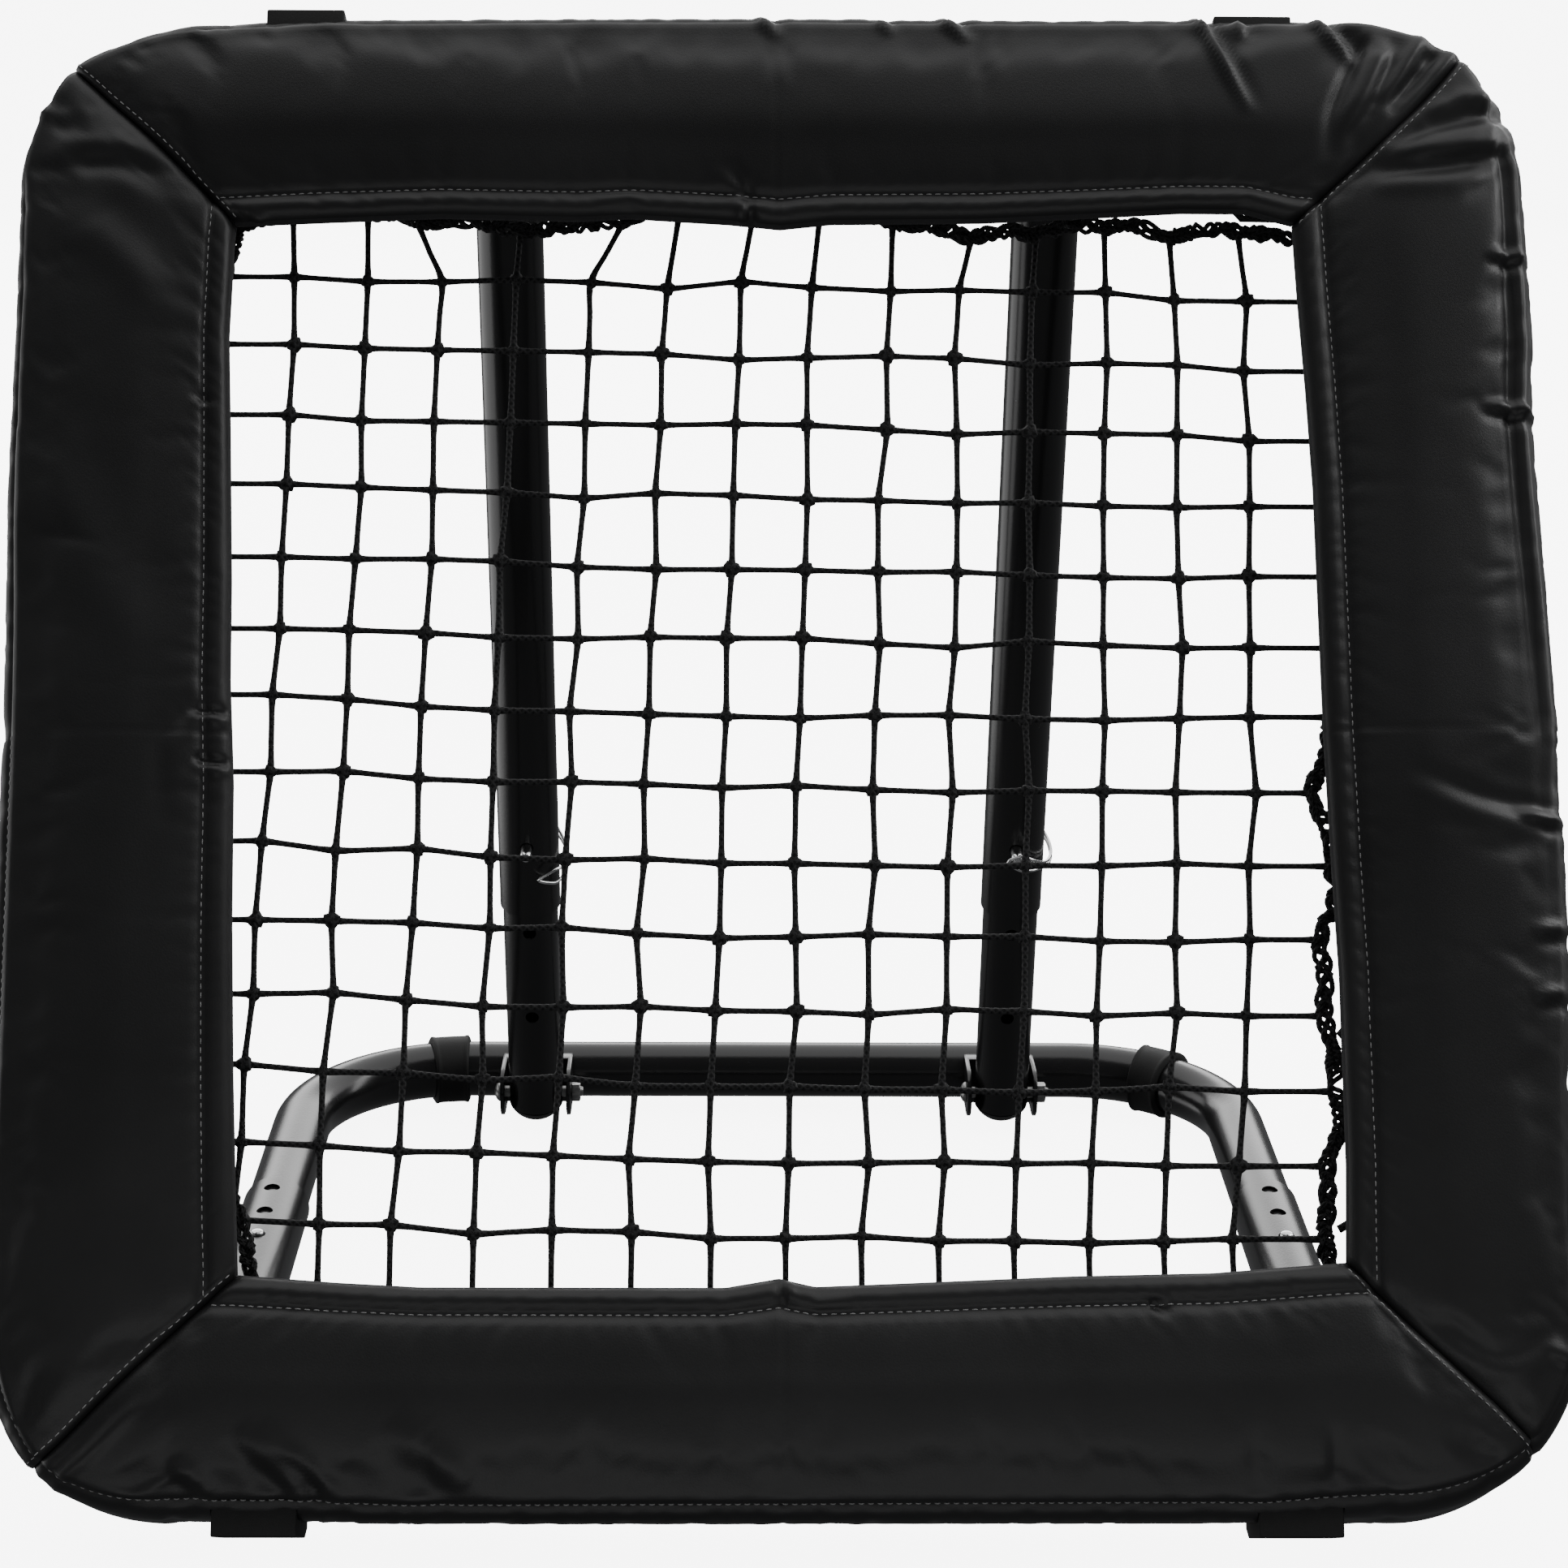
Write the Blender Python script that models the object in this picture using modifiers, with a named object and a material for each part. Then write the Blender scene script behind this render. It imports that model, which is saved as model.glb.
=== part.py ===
"""A square rebounder net on a folding tubular stand, as an assembly of separate pieces.

Metres, +Z up, +X to the right of someone facing the net, the net's face towards -Y. The origin
lies on the floor under the middle of the whole thing.

Four groups hang from four kinds of empty:
  base          the rear U tube, its two front legs and what is bolted to them
  frame_hinge   the padded net frame, which tilts about the bolts at the legs' front ends
  strut_foot_*  the lower strut tubes, which swing about the bolts on the rear tube
  strut_slide_* the upper strut tubes, which slide over the lower ones and carry the lock pins
Inside the frame, X runs along the width, Z up along the leaning frame and -Y out of its face.
"""
import math

import bmesh
import bpy
from mathutils import Matrix, Vector

# Seats and fits
GAP = 0.0003                 # between two pieces that touch
SLIP = 0.0005                # between a tube and the tube that slides in it
BOLT_R = 0.004               # shank radius of every pivot bolt
BOLT_SLIP = 0.0003           # round a bolt's shank
HEAD_R = 0.0075              # domed bolt head
HEAD_T = 0.0045
NUT_R = 0.0074               # across the nut's corners
NUT_T = 0.0065
THREAD_PROUD = 0.002         # bolt end past its nut

# The net frame
LEAN = math.radians(30.0)    # of the frame from upright
FRAME_SIZE = 0.840           # over the outside of the frame's tube
FRAME_TUBE_R = 0.019
FRAME_WALL = 0.0012
FRAME_CORNER_R = 0.060       # to the middle of the tube
JOINER_HALF = 0.045          # of the sleeve inside the frame's side joints
JOINER_WALL = 0.0012

# The net, its border rope and the bungee that laces it to the frame
NET_INSET = 0.074            # the net's edge, in from the middle of the frame's tube
MESH_SIZE = 0.0436           # about; whole meshes fill the net
NET_CORD = 0.0028
ROPE_R = 0.004
LACE_R = 0.0025
LACE_CLEAR = 0.0135          # from a turn's middle line to a strut's bracket
LACE_STEP = math.radians(40.0)

# The padded cover
PAD_INWARD = 0.090           # the cover's inner edge, in from the middle of the tube
FOAM = 0.0135                # in front of the frame's tube
SKIRT = 0.0175               # outside it
CROWN = 0.0022
HEM = 0.0080                 # thickness of the sewn inner hem
SEAM_DROP = 0.0030           # how far the corner seams draw the face in
STRAP_WIDTH = 0.028
STRAP_T = 0.0012

# The four foot blocks that clip onto the frame
BLOCK_INSET = 0.114          # a block's middle, in from the side tube's
BLOCK_WIDTH = 0.047
BLOCK_PROUD = 0.0072         # past the cover's outer edge
BLOCK_LIP = 0.006            # of rubber on the inner side of the tube
BLOCK_MOUTH = 0.024          # the slit that snaps over the tube
HEEL_FLAT = 0.010            # flat that stands on the floor

# The base
REAR_TUBE_R = 0.020
REAR_WALL = 0.0012
LEG_TUBE_R = 0.022
LEG_WALL = 0.0015
LEG_INSET = 0.071            # a leg's middle, in from the frame's side tube
BEND_R = 0.112
BASE_DEPTH = 0.596           # from the frame's hinge to the rear tube
LEG_LENGTH = 0.3465          # from the hinge to the front leg's rear end
LEG_HOLE_R = 0.0053
LEG_HOLES = 3
LEG_HOLE_APART = 0.0365
LEG_HOLE_EDGE = 0.017        # last hole from the leg's rear end
LEG_INSERT = 0.040           # of rear tube past the button
BUTTON_R = 0.0045
BUTTON_PROUD = 0.0028
BUTTON_FLANGE_R = 0.0075
BUTTON_FLANGE_T = 0.0015
FOOT_RUBBER = 0.004          # under the rear tube
FOOT_SOLE = 0.0008           # cut off the rubber ring to make its flat sole
FOOT_LENGTH = 0.028
FOOT_ANGLE = {"left": math.radians(8.0), "right": math.radians(36.0)}

# The hinge between base and frame
LUG_REACH = 0.048            # from the frame's lower tube to the hinge bolt
LUG_R = 0.0125
LUG_WIDTH = 0.024
FORK_R = 0.013
FORK_CHEEK = 0.004
FORK_BACK = 0.028            # from the hinge bolt to the leg's front end
FORK_PLUG = 0.026
FORK_CLEAR = 0.003           # behind the lug's round end, as it turns

# The struts
STRUT_INSET = 0.2325         # a strut's middle, in from the frame's side tube
UPPER_R = 0.021
UPPER_WALL = 0.0012
LOWER_WALL = 0.0012
STRUT_SLIP = 0.0006
FOOT_PIVOT_BACK = 0.046      # rear tube's middle to the lower pivot
FOOT_PIVOT_DROP = -0.001     # lower pivot below the rear tube's middle
TOP_PIVOT_BACK = 0.056       # upper pivot behind the frame's plane
TOP_PIVOT_DROP = 0.021       # upper pivot below the frame's top tube
LOWER_END = 0.008            # lower tube below its pivot
UPPER_END = 0.022            # upper tube past its pivot
PIN_HOLE_FIRST = 0.076       # lowest hole above the lower pivot
PIN_HOLE_APART = 0.070
PIN_HOLE_R = 0.0045
PIN_IN_HOLE = 2              # the pin stands in the third hole
LOWER_ABOVE_PIN = 0.200      # slotted stretch of the lower tube above the pin
UPPER_BELOW_PIN = 0.056
OPEN_PIVOT_CLEAR = 0.0038    # round the bolt in the upper tube, where the linkage is opened
EAR_T = 0.003
WEB_T = 0.003
LOWER_EAR_GAP = 0.003        # between the lower tube and its bracket's ears
UPPER_EAR_GAP = 0.0006
LOWER_EAR_R = 0.017
UPPER_EAR_R = 0.016
UPPER_ROOT_R = 0.005         # half height of the upper bracket where it meets the frame
PLUG_LONG = 0.014            # of the strut's end plug above the pivot
PLUG_DOME_R = 0.0208

# The lock pins and their wire bails
PIN_R = 0.004
PIN_PROUD = 0.014
PIN_HEAD_R = 0.007
PIN_HEAD_T = 0.009
PIN_HEAD_GAP = 0.0010        # head to the tube
WIRE_R = 0.0011
WIRE_END_IN = 0.0035         # the wire's ends in the pin's head, from its middle
WIRE_END_OUT = 0.0088        # where the wire bends away beside the head
# A bail's route: right of the pin, forward of the strut's axis, up the strut, half spread
BAIL_ROUTE = {
    "right": [(0.0060, -0.0270, -0.0005, 0.0085), (0.0150, -0.0250, -0.0040, 0.0040),
              (0.0235, -0.0150, -0.0100, 0.0017), (0.0262, -0.0020, -0.0135, 0.0017),
              (0.0240, 0.0120, -0.0130, 0.0017), (0.0185, 0.0230, -0.0100, 0.0020),
              (0.0100, 0.0340, -0.0040, 0.0042), (0.0020, 0.0372, -0.0008, 0.0056),
              (-0.0065, 0.0372, 0.0, 0.0)],
    "left": [(0.0060, -0.0270, -0.0015, 0.0085), (0.0150, -0.0250, -0.0070, 0.0040),
             (0.0235, -0.0150, -0.0150, 0.0017), (0.0264, -0.0020, -0.0200, 0.0017),
             (0.0255, 0.0090, -0.0220, 0.0022), (0.0225, 0.0160, -0.0225, 0.0045),
             (0.0180, 0.0210, -0.0225, 0.0050), (0.0080, 0.0265, -0.0220, 0.0)],
}

# Sides of round pieces and steps of bends
FRAME_SIDES = 12
BASE_SIDES = 16
STRUT_SIDES = 20
LACE_SIDES = 4
ROPE_SIDES = 6
WIRE_SIDES = 6
BORE_SIDES = 12
BEND_STEPS = 6
CORNER_STEPS = 5

# How far a cutter reaches past what it cuts
PAST = 0.01

# Finishes: colour, roughness, metallic
FINISHES = {
    "black_paint": ((0.012, 0.012, 0.013), 0.32, 0.55),
    "vinyl": ((0.016, 0.016, 0.017), 0.45, 0.0),
    "rubber": ((0.022, 0.022, 0.022), 0.75, 0.0),
    "cord": ((0.012, 0.012, 0.012), 0.80, 0.0),
    "webbing": ((0.020, 0.020, 0.021), 0.85, 0.0),
    "zinc": ((0.62, 0.62, 0.60), 0.35, 1.0),
    "chrome": ((0.80, 0.80, 0.80), 0.12, 1.0),
    "plastic": ((0.018, 0.018, 0.018), 0.50, 0.0),
}

# Places that follow from the sizes above
RAIL = FRAME_SIZE / 2 - FRAME_TUBE_R
LACE_RING = (FRAME_TUBE_R + GAP + LACE_R) / math.cos(LACE_STEP / 2)
HOLLOW = LACE_RING + LACE_R + GAP
PAD_IN = RAIL - PAD_INWARD
PAD_OUT = RAIL + HOLLOW + SKIRT
PAD_FRONT = HOLLOW + FOAM
PAD_BACK = HOLLOW - 0.002
BLOCK_DEPTH = HOLLOW - GAP
BLOCK_OUT = PAD_OUT + BLOCK_PROUD
BLOCK_X = RAIL - BLOCK_INSET
LEG_X = RAIL - LEG_INSET
STRUT_X = RAIL - STRUT_INSET

# The bungee's turns leave the struts' brackets and the blocks free; the straps sit between
LACE_PITCH = STRUT_X / 1.5
LACE_ADVANCE = LACE_PITCH / 2 - UPPER_R - UPPER_EAR_GAP - EAR_T - LACE_CLEAR
LACE_EACH_SIDE = int((BLOCK_X - BLOCK_WIDTH / 2 - LACE_ADVANCE - LACE_R) / LACE_PITCH)
LACE_WRAPS = 1 + 2 * LACE_EACH_SIDE
STRAP_END_AT = LACE_PITCH / 2
STRAP_SIDE_AT = LACE_PITCH * 1.5
NET_HALF = RAIL - NET_INSET
MESHES = round(2 * NET_HALF / MESH_SIZE)
ROPE_HALF = NET_HALF + NET_CORD / 2 + GAP + ROPE_R
LACE_TIE = ROPE_HALF + ROPE_R + GAP + LACE_R

FRAME_Y = BLOCK_OUT * math.sin(LEAN) - BLOCK_DEPTH * math.cos(LEAN)
FRAME_Z = (BLOCK_OUT * math.cos(LEAN) + BLOCK_DEPTH * math.sin(LEAN)
           - HEEL_FLAT * math.sin(LEAN) * math.cos(LEAN))
BASE_Z = REAR_TUBE_R + FOOT_RUBBER
LOWER_RAIL_Y = FRAME_Y - RAIL * math.sin(LEAN)
LOWER_RAIL_Z = FRAME_Z - RAIL * math.cos(LEAN)
HINGE_Y = LOWER_RAIL_Y + math.sqrt(LUG_REACH ** 2 - (LOWER_RAIL_Z - BASE_Z) ** 2)
HINGE_Z = BASE_Z
REAR_Y = HINGE_Y + BASE_DEPTH
LEG_END_Y = HINGE_Y + LEG_LENGTH
BUTTON_Y = LEG_END_Y - LEG_HOLE_EDGE - (LEG_HOLES - 1) * LEG_HOLE_APART

LOWER_R = UPPER_R - UPPER_WALL - STRUT_SLIP
FOOT_Y = REAR_Y - FOOT_PIVOT_BACK
FOOT_Z = BASE_Z - FOOT_PIVOT_DROP
TOP_V = RAIL - TOP_PIVOT_DROP
TOP_Y = FRAME_Y + TOP_V * math.sin(LEAN) + TOP_PIVOT_BACK * math.cos(LEAN)
TOP_Z = FRAME_Z + TOP_V * math.cos(LEAN) - TOP_PIVOT_BACK * math.sin(LEAN)
STRUT_LEAN = math.atan2(FOOT_Y - TOP_Y, TOP_Z - FOOT_Z)
STRUT_LENGTH = math.hypot(FOOT_Y - TOP_Y, TOP_Z - FOOT_Z)
PIN_AT = PIN_HOLE_FIRST + PIN_IN_HOLE * PIN_HOLE_APART
PIN_HEAD_MID = UPPER_R + PIN_HEAD_GAP + PIN_HEAD_T / 2

SIDES = {"left": -1.0, "right": 1.0}


def clear_scene():
    """Remove what a new file holds, and leftovers of an earlier run."""
    for obj in list(bpy.data.objects):
        bpy.data.objects.remove(obj, do_unlink=True)
    for group in list(bpy.data.collections):
        bpy.data.collections.remove(group)


def new_collection(name):
    """A collection under the scene's own."""
    group = bpy.data.collections.new(name)
    bpy.context.scene.collection.children.link(group)
    return group


def finish_material(name):
    """A Principled material with one of the named finishes."""
    colour, roughness, metallic = FINISHES[name]
    made = bpy.data.materials.get(name)
    if made is None:
        made = bpy.data.materials.new(name)
        made.use_nodes = True
        shader = made.node_tree.nodes["Principled BSDF"]
        shader.inputs["Base Color"].default_value = (*colour, 1.0)
        shader.inputs["Roughness"].default_value = roughness
        shader.inputs["Metallic"].default_value = metallic
        made.diffuse_color = (*colour, 1.0)
    return made


def add_empty(name, parent=None, at=(0.0, 0.0, 0.0), turn=(0.0, 0.0, 0.0)):
    """An empty that pieces hang from, on a joint's axis."""
    empty = bpy.data.objects.new(name, None)
    empty.empty_display_size = 0.05
    empty.location = at
    empty.rotation_euler = turn
    empty.parent = parent
    PARTS.objects.link(empty)
    return empty


def add_piece(name, mesh, finish, parent, at=(0.0, 0.0, 0.0), turn=(0.0, 0.0, 0.0)):
    """A named piece of the object, under its empty."""
    piece = bpy.data.objects.new(name, mesh)
    mesh.materials.clear()
    mesh.materials.append(finish_material(finish))
    mesh.shade_smooth()
    mesh.set_sharp_from_angle(angle=math.radians(35.0))
    piece.location = at
    piece.rotation_euler = turn
    piece.parent = parent
    PARTS.objects.link(piece)
    return piece


def add_cutter(mesh, parent, at=(0.0, 0.0, 0.0), turn=(0.0, 0.0, 0.0)):
    """A hidden shape for a boolean."""
    cutter = bpy.data.objects.new("cutter", mesh)
    cutter.location = at
    cutter.rotation_euler = turn
    cutter.parent = parent
    cutter.hide_render = True
    cutter.display_type = "WIRE"
    CUTTERS.objects.link(cutter)
    return cutter


def combine(piece, other, operation="DIFFERENCE"):
    """Cut the other shape out of a piece, or join it on."""
    boolean = piece.modifiers.new("cut", "BOOLEAN")
    boolean.operation = operation
    boolean.object = other


def drill(piece, mesh, at=(0.0, 0.0, 0.0), turn=(0.0, 0.0, 0.0)):
    """Cut a shape out of a piece, placed under the same parent."""
    combine(piece, add_cutter(mesh, piece.parent, at, turn))


def weld_on(piece, mesh, at=(0.0, 0.0, 0.0), turn=(0.0, 0.0, 0.0)):
    """Join a shape onto a piece, placed under the same parent."""
    combine(piece, add_cutter(mesh, piece.parent, at, turn), "UNION")


def mesh_from(shape, name="shape"):
    """Turn a bmesh into a mesh and free it."""
    mesh = bpy.data.meshes.new(name)
    shape.to_mesh(mesh)
    shape.free()
    return mesh


def box(low, high):
    """A box between two corners."""
    low, high = Vector(low), Vector(high)
    shape = bmesh.new()
    bmesh.ops.create_cube(shape, size=1.0)
    bmesh.ops.scale(shape, vec=high - low, verts=shape.verts)
    bmesh.ops.translate(shape, vec=(low + high) / 2, verts=shape.verts)
    return mesh_from(shape)


def rod(radius, start, end, sides=BORE_SIDES):
    """A round bar between two points."""
    start, end = Vector(start), Vector(end)
    way = end - start
    shape = bmesh.new()
    bmesh.ops.create_cone(shape, cap_ends=True, segments=sides, radius1=radius, radius2=radius,
                          depth=way.length)
    bmesh.ops.transform(shape, matrix=way.to_track_quat("Z", "Y").to_matrix().to_4x4(),
                        verts=shape.verts)
    bmesh.ops.translate(shape, vec=(start + end) / 2, verts=shape.verts)
    return mesh_from(shape)


def bore(radius, start, end, sides=BORE_SIDES):
    """A bar whose flats, not its corners, lie at the radius: the hole clears a round shaft."""
    return rod(radius / math.cos(math.pi / sides), start, end, sides)


def curve_mesh(curve):
    """The mesh of a curve, with its caps welded on."""
    guide = bpy.data.objects.new("guide", curve)
    CUTTERS.objects.link(guide)
    evaluated = guide.evaluated_get(bpy.context.evaluated_depsgraph_get())
    mesh = bpy.data.meshes.new_from_object(evaluated)
    bpy.data.objects.remove(guide, do_unlink=True)
    shape = bmesh.new()
    shape.from_mesh(mesh)
    bmesh.ops.remove_doubles(shape, verts=shape.verts, dist=0.000001)
    shape.to_mesh(mesh)
    shape.free()
    return mesh


def pipe(points, radius, sides, capped=True, closed=False):
    """A round tube along straight runs between points; without caps it is a bare skin."""
    curve = bpy.data.curves.new("route", "CURVE")
    curve.dimensions = "3D"
    spline = curve.splines.new("POLY")
    spline.points.add(len(points) - 1)
    for point, place in zip(spline.points, points):
        point.co = (*place, 1.0)
    spline.use_cyclic_u = closed
    curve.bevel_depth = radius
    curve.bevel_resolution = sides // 2 - 2
    curve.use_fill_caps = capped
    return curve_mesh(curve)


def plate(outline, x_low, x_high):
    """A flat outline of (y, z) points, as thick as from one x to the other."""
    curve = bpy.data.curves.new("outline", "CURVE")
    curve.dimensions = "2D"
    curve.fill_mode = "BOTH"
    curve.extrude = (x_high - x_low) / 2
    spline = curve.splines.new("POLY")
    spline.points.add(len(outline) - 1)
    for point, (y, z) in zip(spline.points, outline):
        point.co = (y, z, 0.0, 1.0)
    spline.use_cyclic_u = True
    mesh = curve_mesh(curve)
    # the curve's x and y become the piece's y and z, its thickness the piece's x
    turn = Matrix(((0, 0, 1, 0), (1, 0, 0, 0), (0, 1, 0, 0), (0, 0, 0, 1)))
    mesh.transform(Matrix.Translation(((x_low + x_high) / 2, 0, 0)) @ turn)
    return mesh


def turned(profile, steps):
    """A profile of (radius, height) points, run down its outer side, turned about Z."""
    mesh = bpy.data.meshes.new("turned")
    mesh.from_pydata([(radius, 0.0, height) for radius, height in profile],
                     [(i, i + 1) for i in range(len(profile) - 1)], [])
    lathe = bpy.data.objects.new("lathe", mesh)
    CUTTERS.objects.link(lathe)
    screw = lathe.modifiers.new("turn", "SCREW")
    screw.steps = steps
    screw.render_steps = steps
    screw.use_merge_vertices = True
    screw.merge_threshold = 0.00001
    evaluated = lathe.evaluated_get(bpy.context.evaluated_depsgraph_get())
    made = bpy.data.meshes.new_from_object(evaluated)
    bpy.data.objects.remove(lathe, do_unlink=True)
    return made


def arc(centre, radius, start, end, steps):
    """Points on a circle between two angles."""
    return [(centre[0] + radius * math.cos(start + (end - start) * i / steps),
             centre[1] + radius * math.sin(start + (end - start) * i / steps))
            for i in range(steps + 1)]


def link_outline(eye, eye_r, root, root_r, steps=8):
    """The outline of a link: two round ends joined by straight sides."""
    way = math.atan2(root[1] - eye[1], root[0] - eye[0])
    quarter = math.pi / 2
    return (arc(eye, eye_r, way + quarter, way + 3 * quarter, steps)
            + arc(root, root_r, way - quarter, way + quarter, steps))


def hollow(piece, wall):
    """Give an open skin its wall, inwards."""
    solidify = piece.modifiers.new("wall", "SOLIDIFY")
    solidify.thickness = wall
    solidify.offset = -1.0
    solidify.use_even_offset = True


def inner_flat(radius, wall, sides):
    """Radius that fits inside a tube made with flat sides."""
    return radius * math.cos(math.pi / sides) - wall


def square_path(half, corner, steps, start, end):
    """Points round a rounded square in X and Z, from one quarter turn to another.

    Turn 0 is the middle of the right side, and each turn goes on to the next side,
    anticlockwise: 1 is the top, 2 the left side and 3 the bottom. Without steps, the corners
    are sharp, with a point on each side at the corner's size.
    """
    points = []
    near = half - corner
    for turn in range(start, end):
        run = [(half, 0.0)]
        if steps:
            run += arc((near, near), corner, 0.0, math.pi / 2, steps)
        else:
            run += [(half, near), (half, half), (near, half)]
        angle = turn * math.pi / 2
        for x, z in run:
            points.append((x * math.cos(angle) - z * math.sin(angle), 0.0,
                           x * math.sin(angle) + z * math.cos(angle)))
    return points


def make_frame_tube(frame):
    """The frame's tube: an upper and a lower U, with a joining sleeve inside each side."""
    for name, start in (("frame_tube_upper", 0), ("frame_tube_lower", 2)):
        points = square_path(RAIL, FRAME_CORNER_R, CORNER_STEPS, start, start + 2)
        first = Vector(points[0])
        sign = 1.0 if start == 0 else -1.0
        points[0] = (first.x, 0.0, sign * GAP / 2)
        points.append((-first.x, 0.0, sign * GAP / 2))
        skin = pipe(points, FRAME_TUBE_R, FRAME_SIDES, capped=False)
        hollow(add_piece(name, skin, "black_paint", frame), FRAME_WALL)
    radius = inner_flat(FRAME_TUBE_R, FRAME_WALL, FRAME_SIDES) - GAP
    for side, sign in SIDES.items():
        ends = [(sign * RAIL, 0.0, -JOINER_HALF), (sign * RAIL, 0.0, JOINER_HALF)]
        skin = pipe(ends, radius, FRAME_SIDES, capped=False)
        hollow(add_piece("frame_joiner_" + side, skin, "black_paint", frame), JOINER_WALL)


def make_foot_blocks(frame):
    """Rubber blocks clipped on the top and bottom tubes; the lower heels stand on the floor."""
    for level, up in (("upper", 1.0), ("lower", -1.0)):
        back = BLOCK_DEPTH
        inner = RAIL - FRAME_TUBE_R - BLOCK_LIP
        # y is -n here, so the heel is at +back
        outline = [(back, up * (BLOCK_OUT - HEEL_FLAT * math.sin(LEAN))),
                   (back - HEEL_FLAT * math.cos(LEAN), up * BLOCK_OUT),
                   (-back, up * BLOCK_OUT), (-back, up * inner), (back, up * inner)]
        for side, sign in SIDES.items():
            left = sign * BLOCK_X - BLOCK_WIDTH / 2
            right = sign * BLOCK_X + BLOCK_WIDTH / 2
            block = add_piece("foot_block_%s_%s" % (level, side), plate(outline, left, right),
                              "rubber", frame)
            drill(block, bore(FRAME_TUBE_R + GAP, (left - PAST, 0.0, up * RAIL),
                              (right + PAST, 0.0, up * RAIL)))
            mouth = sorted((up * (inner - PAST), up * RAIL))
            drill(block, box((left - PAST, -BLOCK_MOUTH / 2, mouth[0]),
                             (right + PAST, BLOCK_MOUTH / 2, mouth[1])))


def pad_section(draw):
    """The cover's section as pairs (out, forward): its outer side, then its inner side.

    draw is how far the face is pulled in, at a seam.
    """
    inside = PAD_IN
    face = PAD_FRONT - draw
    wall = RAIL + HOLLOW
    outer = [(inside, HOLLOW + HEM - 0.001), (inside + 0.016, face - 0.0030),
             (inside + 0.045, face), ((inside + PAD_OUT) / 2, face + CROWN),
             (PAD_OUT - 0.030, face), (PAD_OUT - 0.003, face - 0.004),
             (PAD_OUT, face - 0.022), (PAD_OUT - 0.001, -PAD_BACK + 0.012),
             (PAD_OUT - 0.004, -PAD_BACK)]
    inner = [(inside - 0.001, HOLLOW + 0.001), (inside + 0.015, HOLLOW),
             (inside + 0.045, HOLLOW), (RAIL - 0.012, HOLLOW), (RAIL + 0.012, HOLLOW),
             (wall, HOLLOW), (wall, 0.006), (wall, -PAD_BACK + 0.010),
             (wall + 0.003, -PAD_BACK)]
    return outer, inner


def pad_mesh():
    """One side of the cover, along the top: a loft with mitred ends and round outer corners.

    The rings stand at fractions of the half length. Beyond the straight, a point goes round
    the corner on its own radius, so that the ends meet on the square's diagonal.
    """
    fractions = [-1.0, -0.89, -0.78, 0.0, 0.78, 0.89, 1.0]
    turn_at = RAIL - FRAME_CORNER_R
    shape = bmesh.new()
    rings = []
    for fraction in fractions:
        draw = SEAM_DROP * abs(fraction) ** 24
        sign = math.copysign(1.0, fraction)
        ring = []
        for side in pad_section(draw):
            for out, forward in side:
                radius = max(out - turn_at, 0.0)
                straight = min(out, turn_at)
                along = abs(fraction) * (straight + radius * math.pi / 4)
                angle = 0.0
                if along > straight and radius > 0.0:
                    angle = (along - straight) / radius
                    place = (straight + radius * math.sin(angle),
                             turn_at + radius * math.cos(angle))
                else:
                    place = (along, out)
                along, out = place
                if abs(fraction) == 1.0:
                    along -= GAP
                ring.append(shape.verts.new((sign * along, -forward, out)))
        rings.append(ring)
    count = len(rings[0]) // 2
    # round the section: along the outer side, then back along the inner one
    order = list(range(count)) + list(range(2 * count - 1, count - 1, -1))
    for first, second in zip(rings, rings[1:]):
        for i, here in enumerate(order):
            there = order[(i + 1) % len(order)]
            shape.faces.new((first[here], first[there], second[there], second[here]))
    for ring in (rings[0], rings[-1]):
        for i in range(count - 1):
            shape.faces.new((ring[i], ring[i + 1], ring[count + i + 1], ring[count + i]))
    bmesh.ops.recalc_face_normals(shape, faces=shape.faces)
    crease = shape.edges.layers.float.new("crease_edge")
    for ring in (rings[0], rings[-1]):
        ends = set(ring)
        for edge in shape.edges:
            rim = [face for face in edge.link_faces if not ends.issuperset(face.verts)]
            if ends.issuperset(edge.verts) and len(rim) == 1:
                edge[crease] = 1.0
    return mesh_from(shape, "pad")


def make_pads(frame):
    """Four cushioned sides of the cover, and the straps that hold them round the tube."""
    turns = {"top": 0.0, "right": math.pi / 2, "bottom": math.pi, "left": -math.pi / 2}
    for side, turn in turns.items():
        pad = add_piece("pad_" + side, pad_mesh(), "vinyl", frame, turn=(0.0, turn, 0.0))
        soft = pad.modifiers.new("soft", "SUBSURF")
        soft.levels = 1
        soft.render_levels = 1
        if side in ("top", "bottom"):
            for sign in SIDES.values():
                left = sign * BLOCK_X - BLOCK_WIDTH / 2 - GAP
                right = sign * BLOCK_X + BLOCK_WIDTH / 2 + GAP
                notch = box((left, -BLOCK_DEPTH - GAP / 2, RAIL),
                            (right, PAD_BACK + PAST, PAD_OUT + PAST))
                combine(pad, add_cutter(notch, frame, turn=(0.0, turn, 0.0)))
        places = STRAP_END_AT if side in ("top", "bottom") else STRAP_SIDE_AT
        for end, sign in (("a", -1.0), ("b", 1.0)):
            make_strap(frame, "pad_strap_%s_%s" % (side, end), turn, sign * places)


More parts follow.
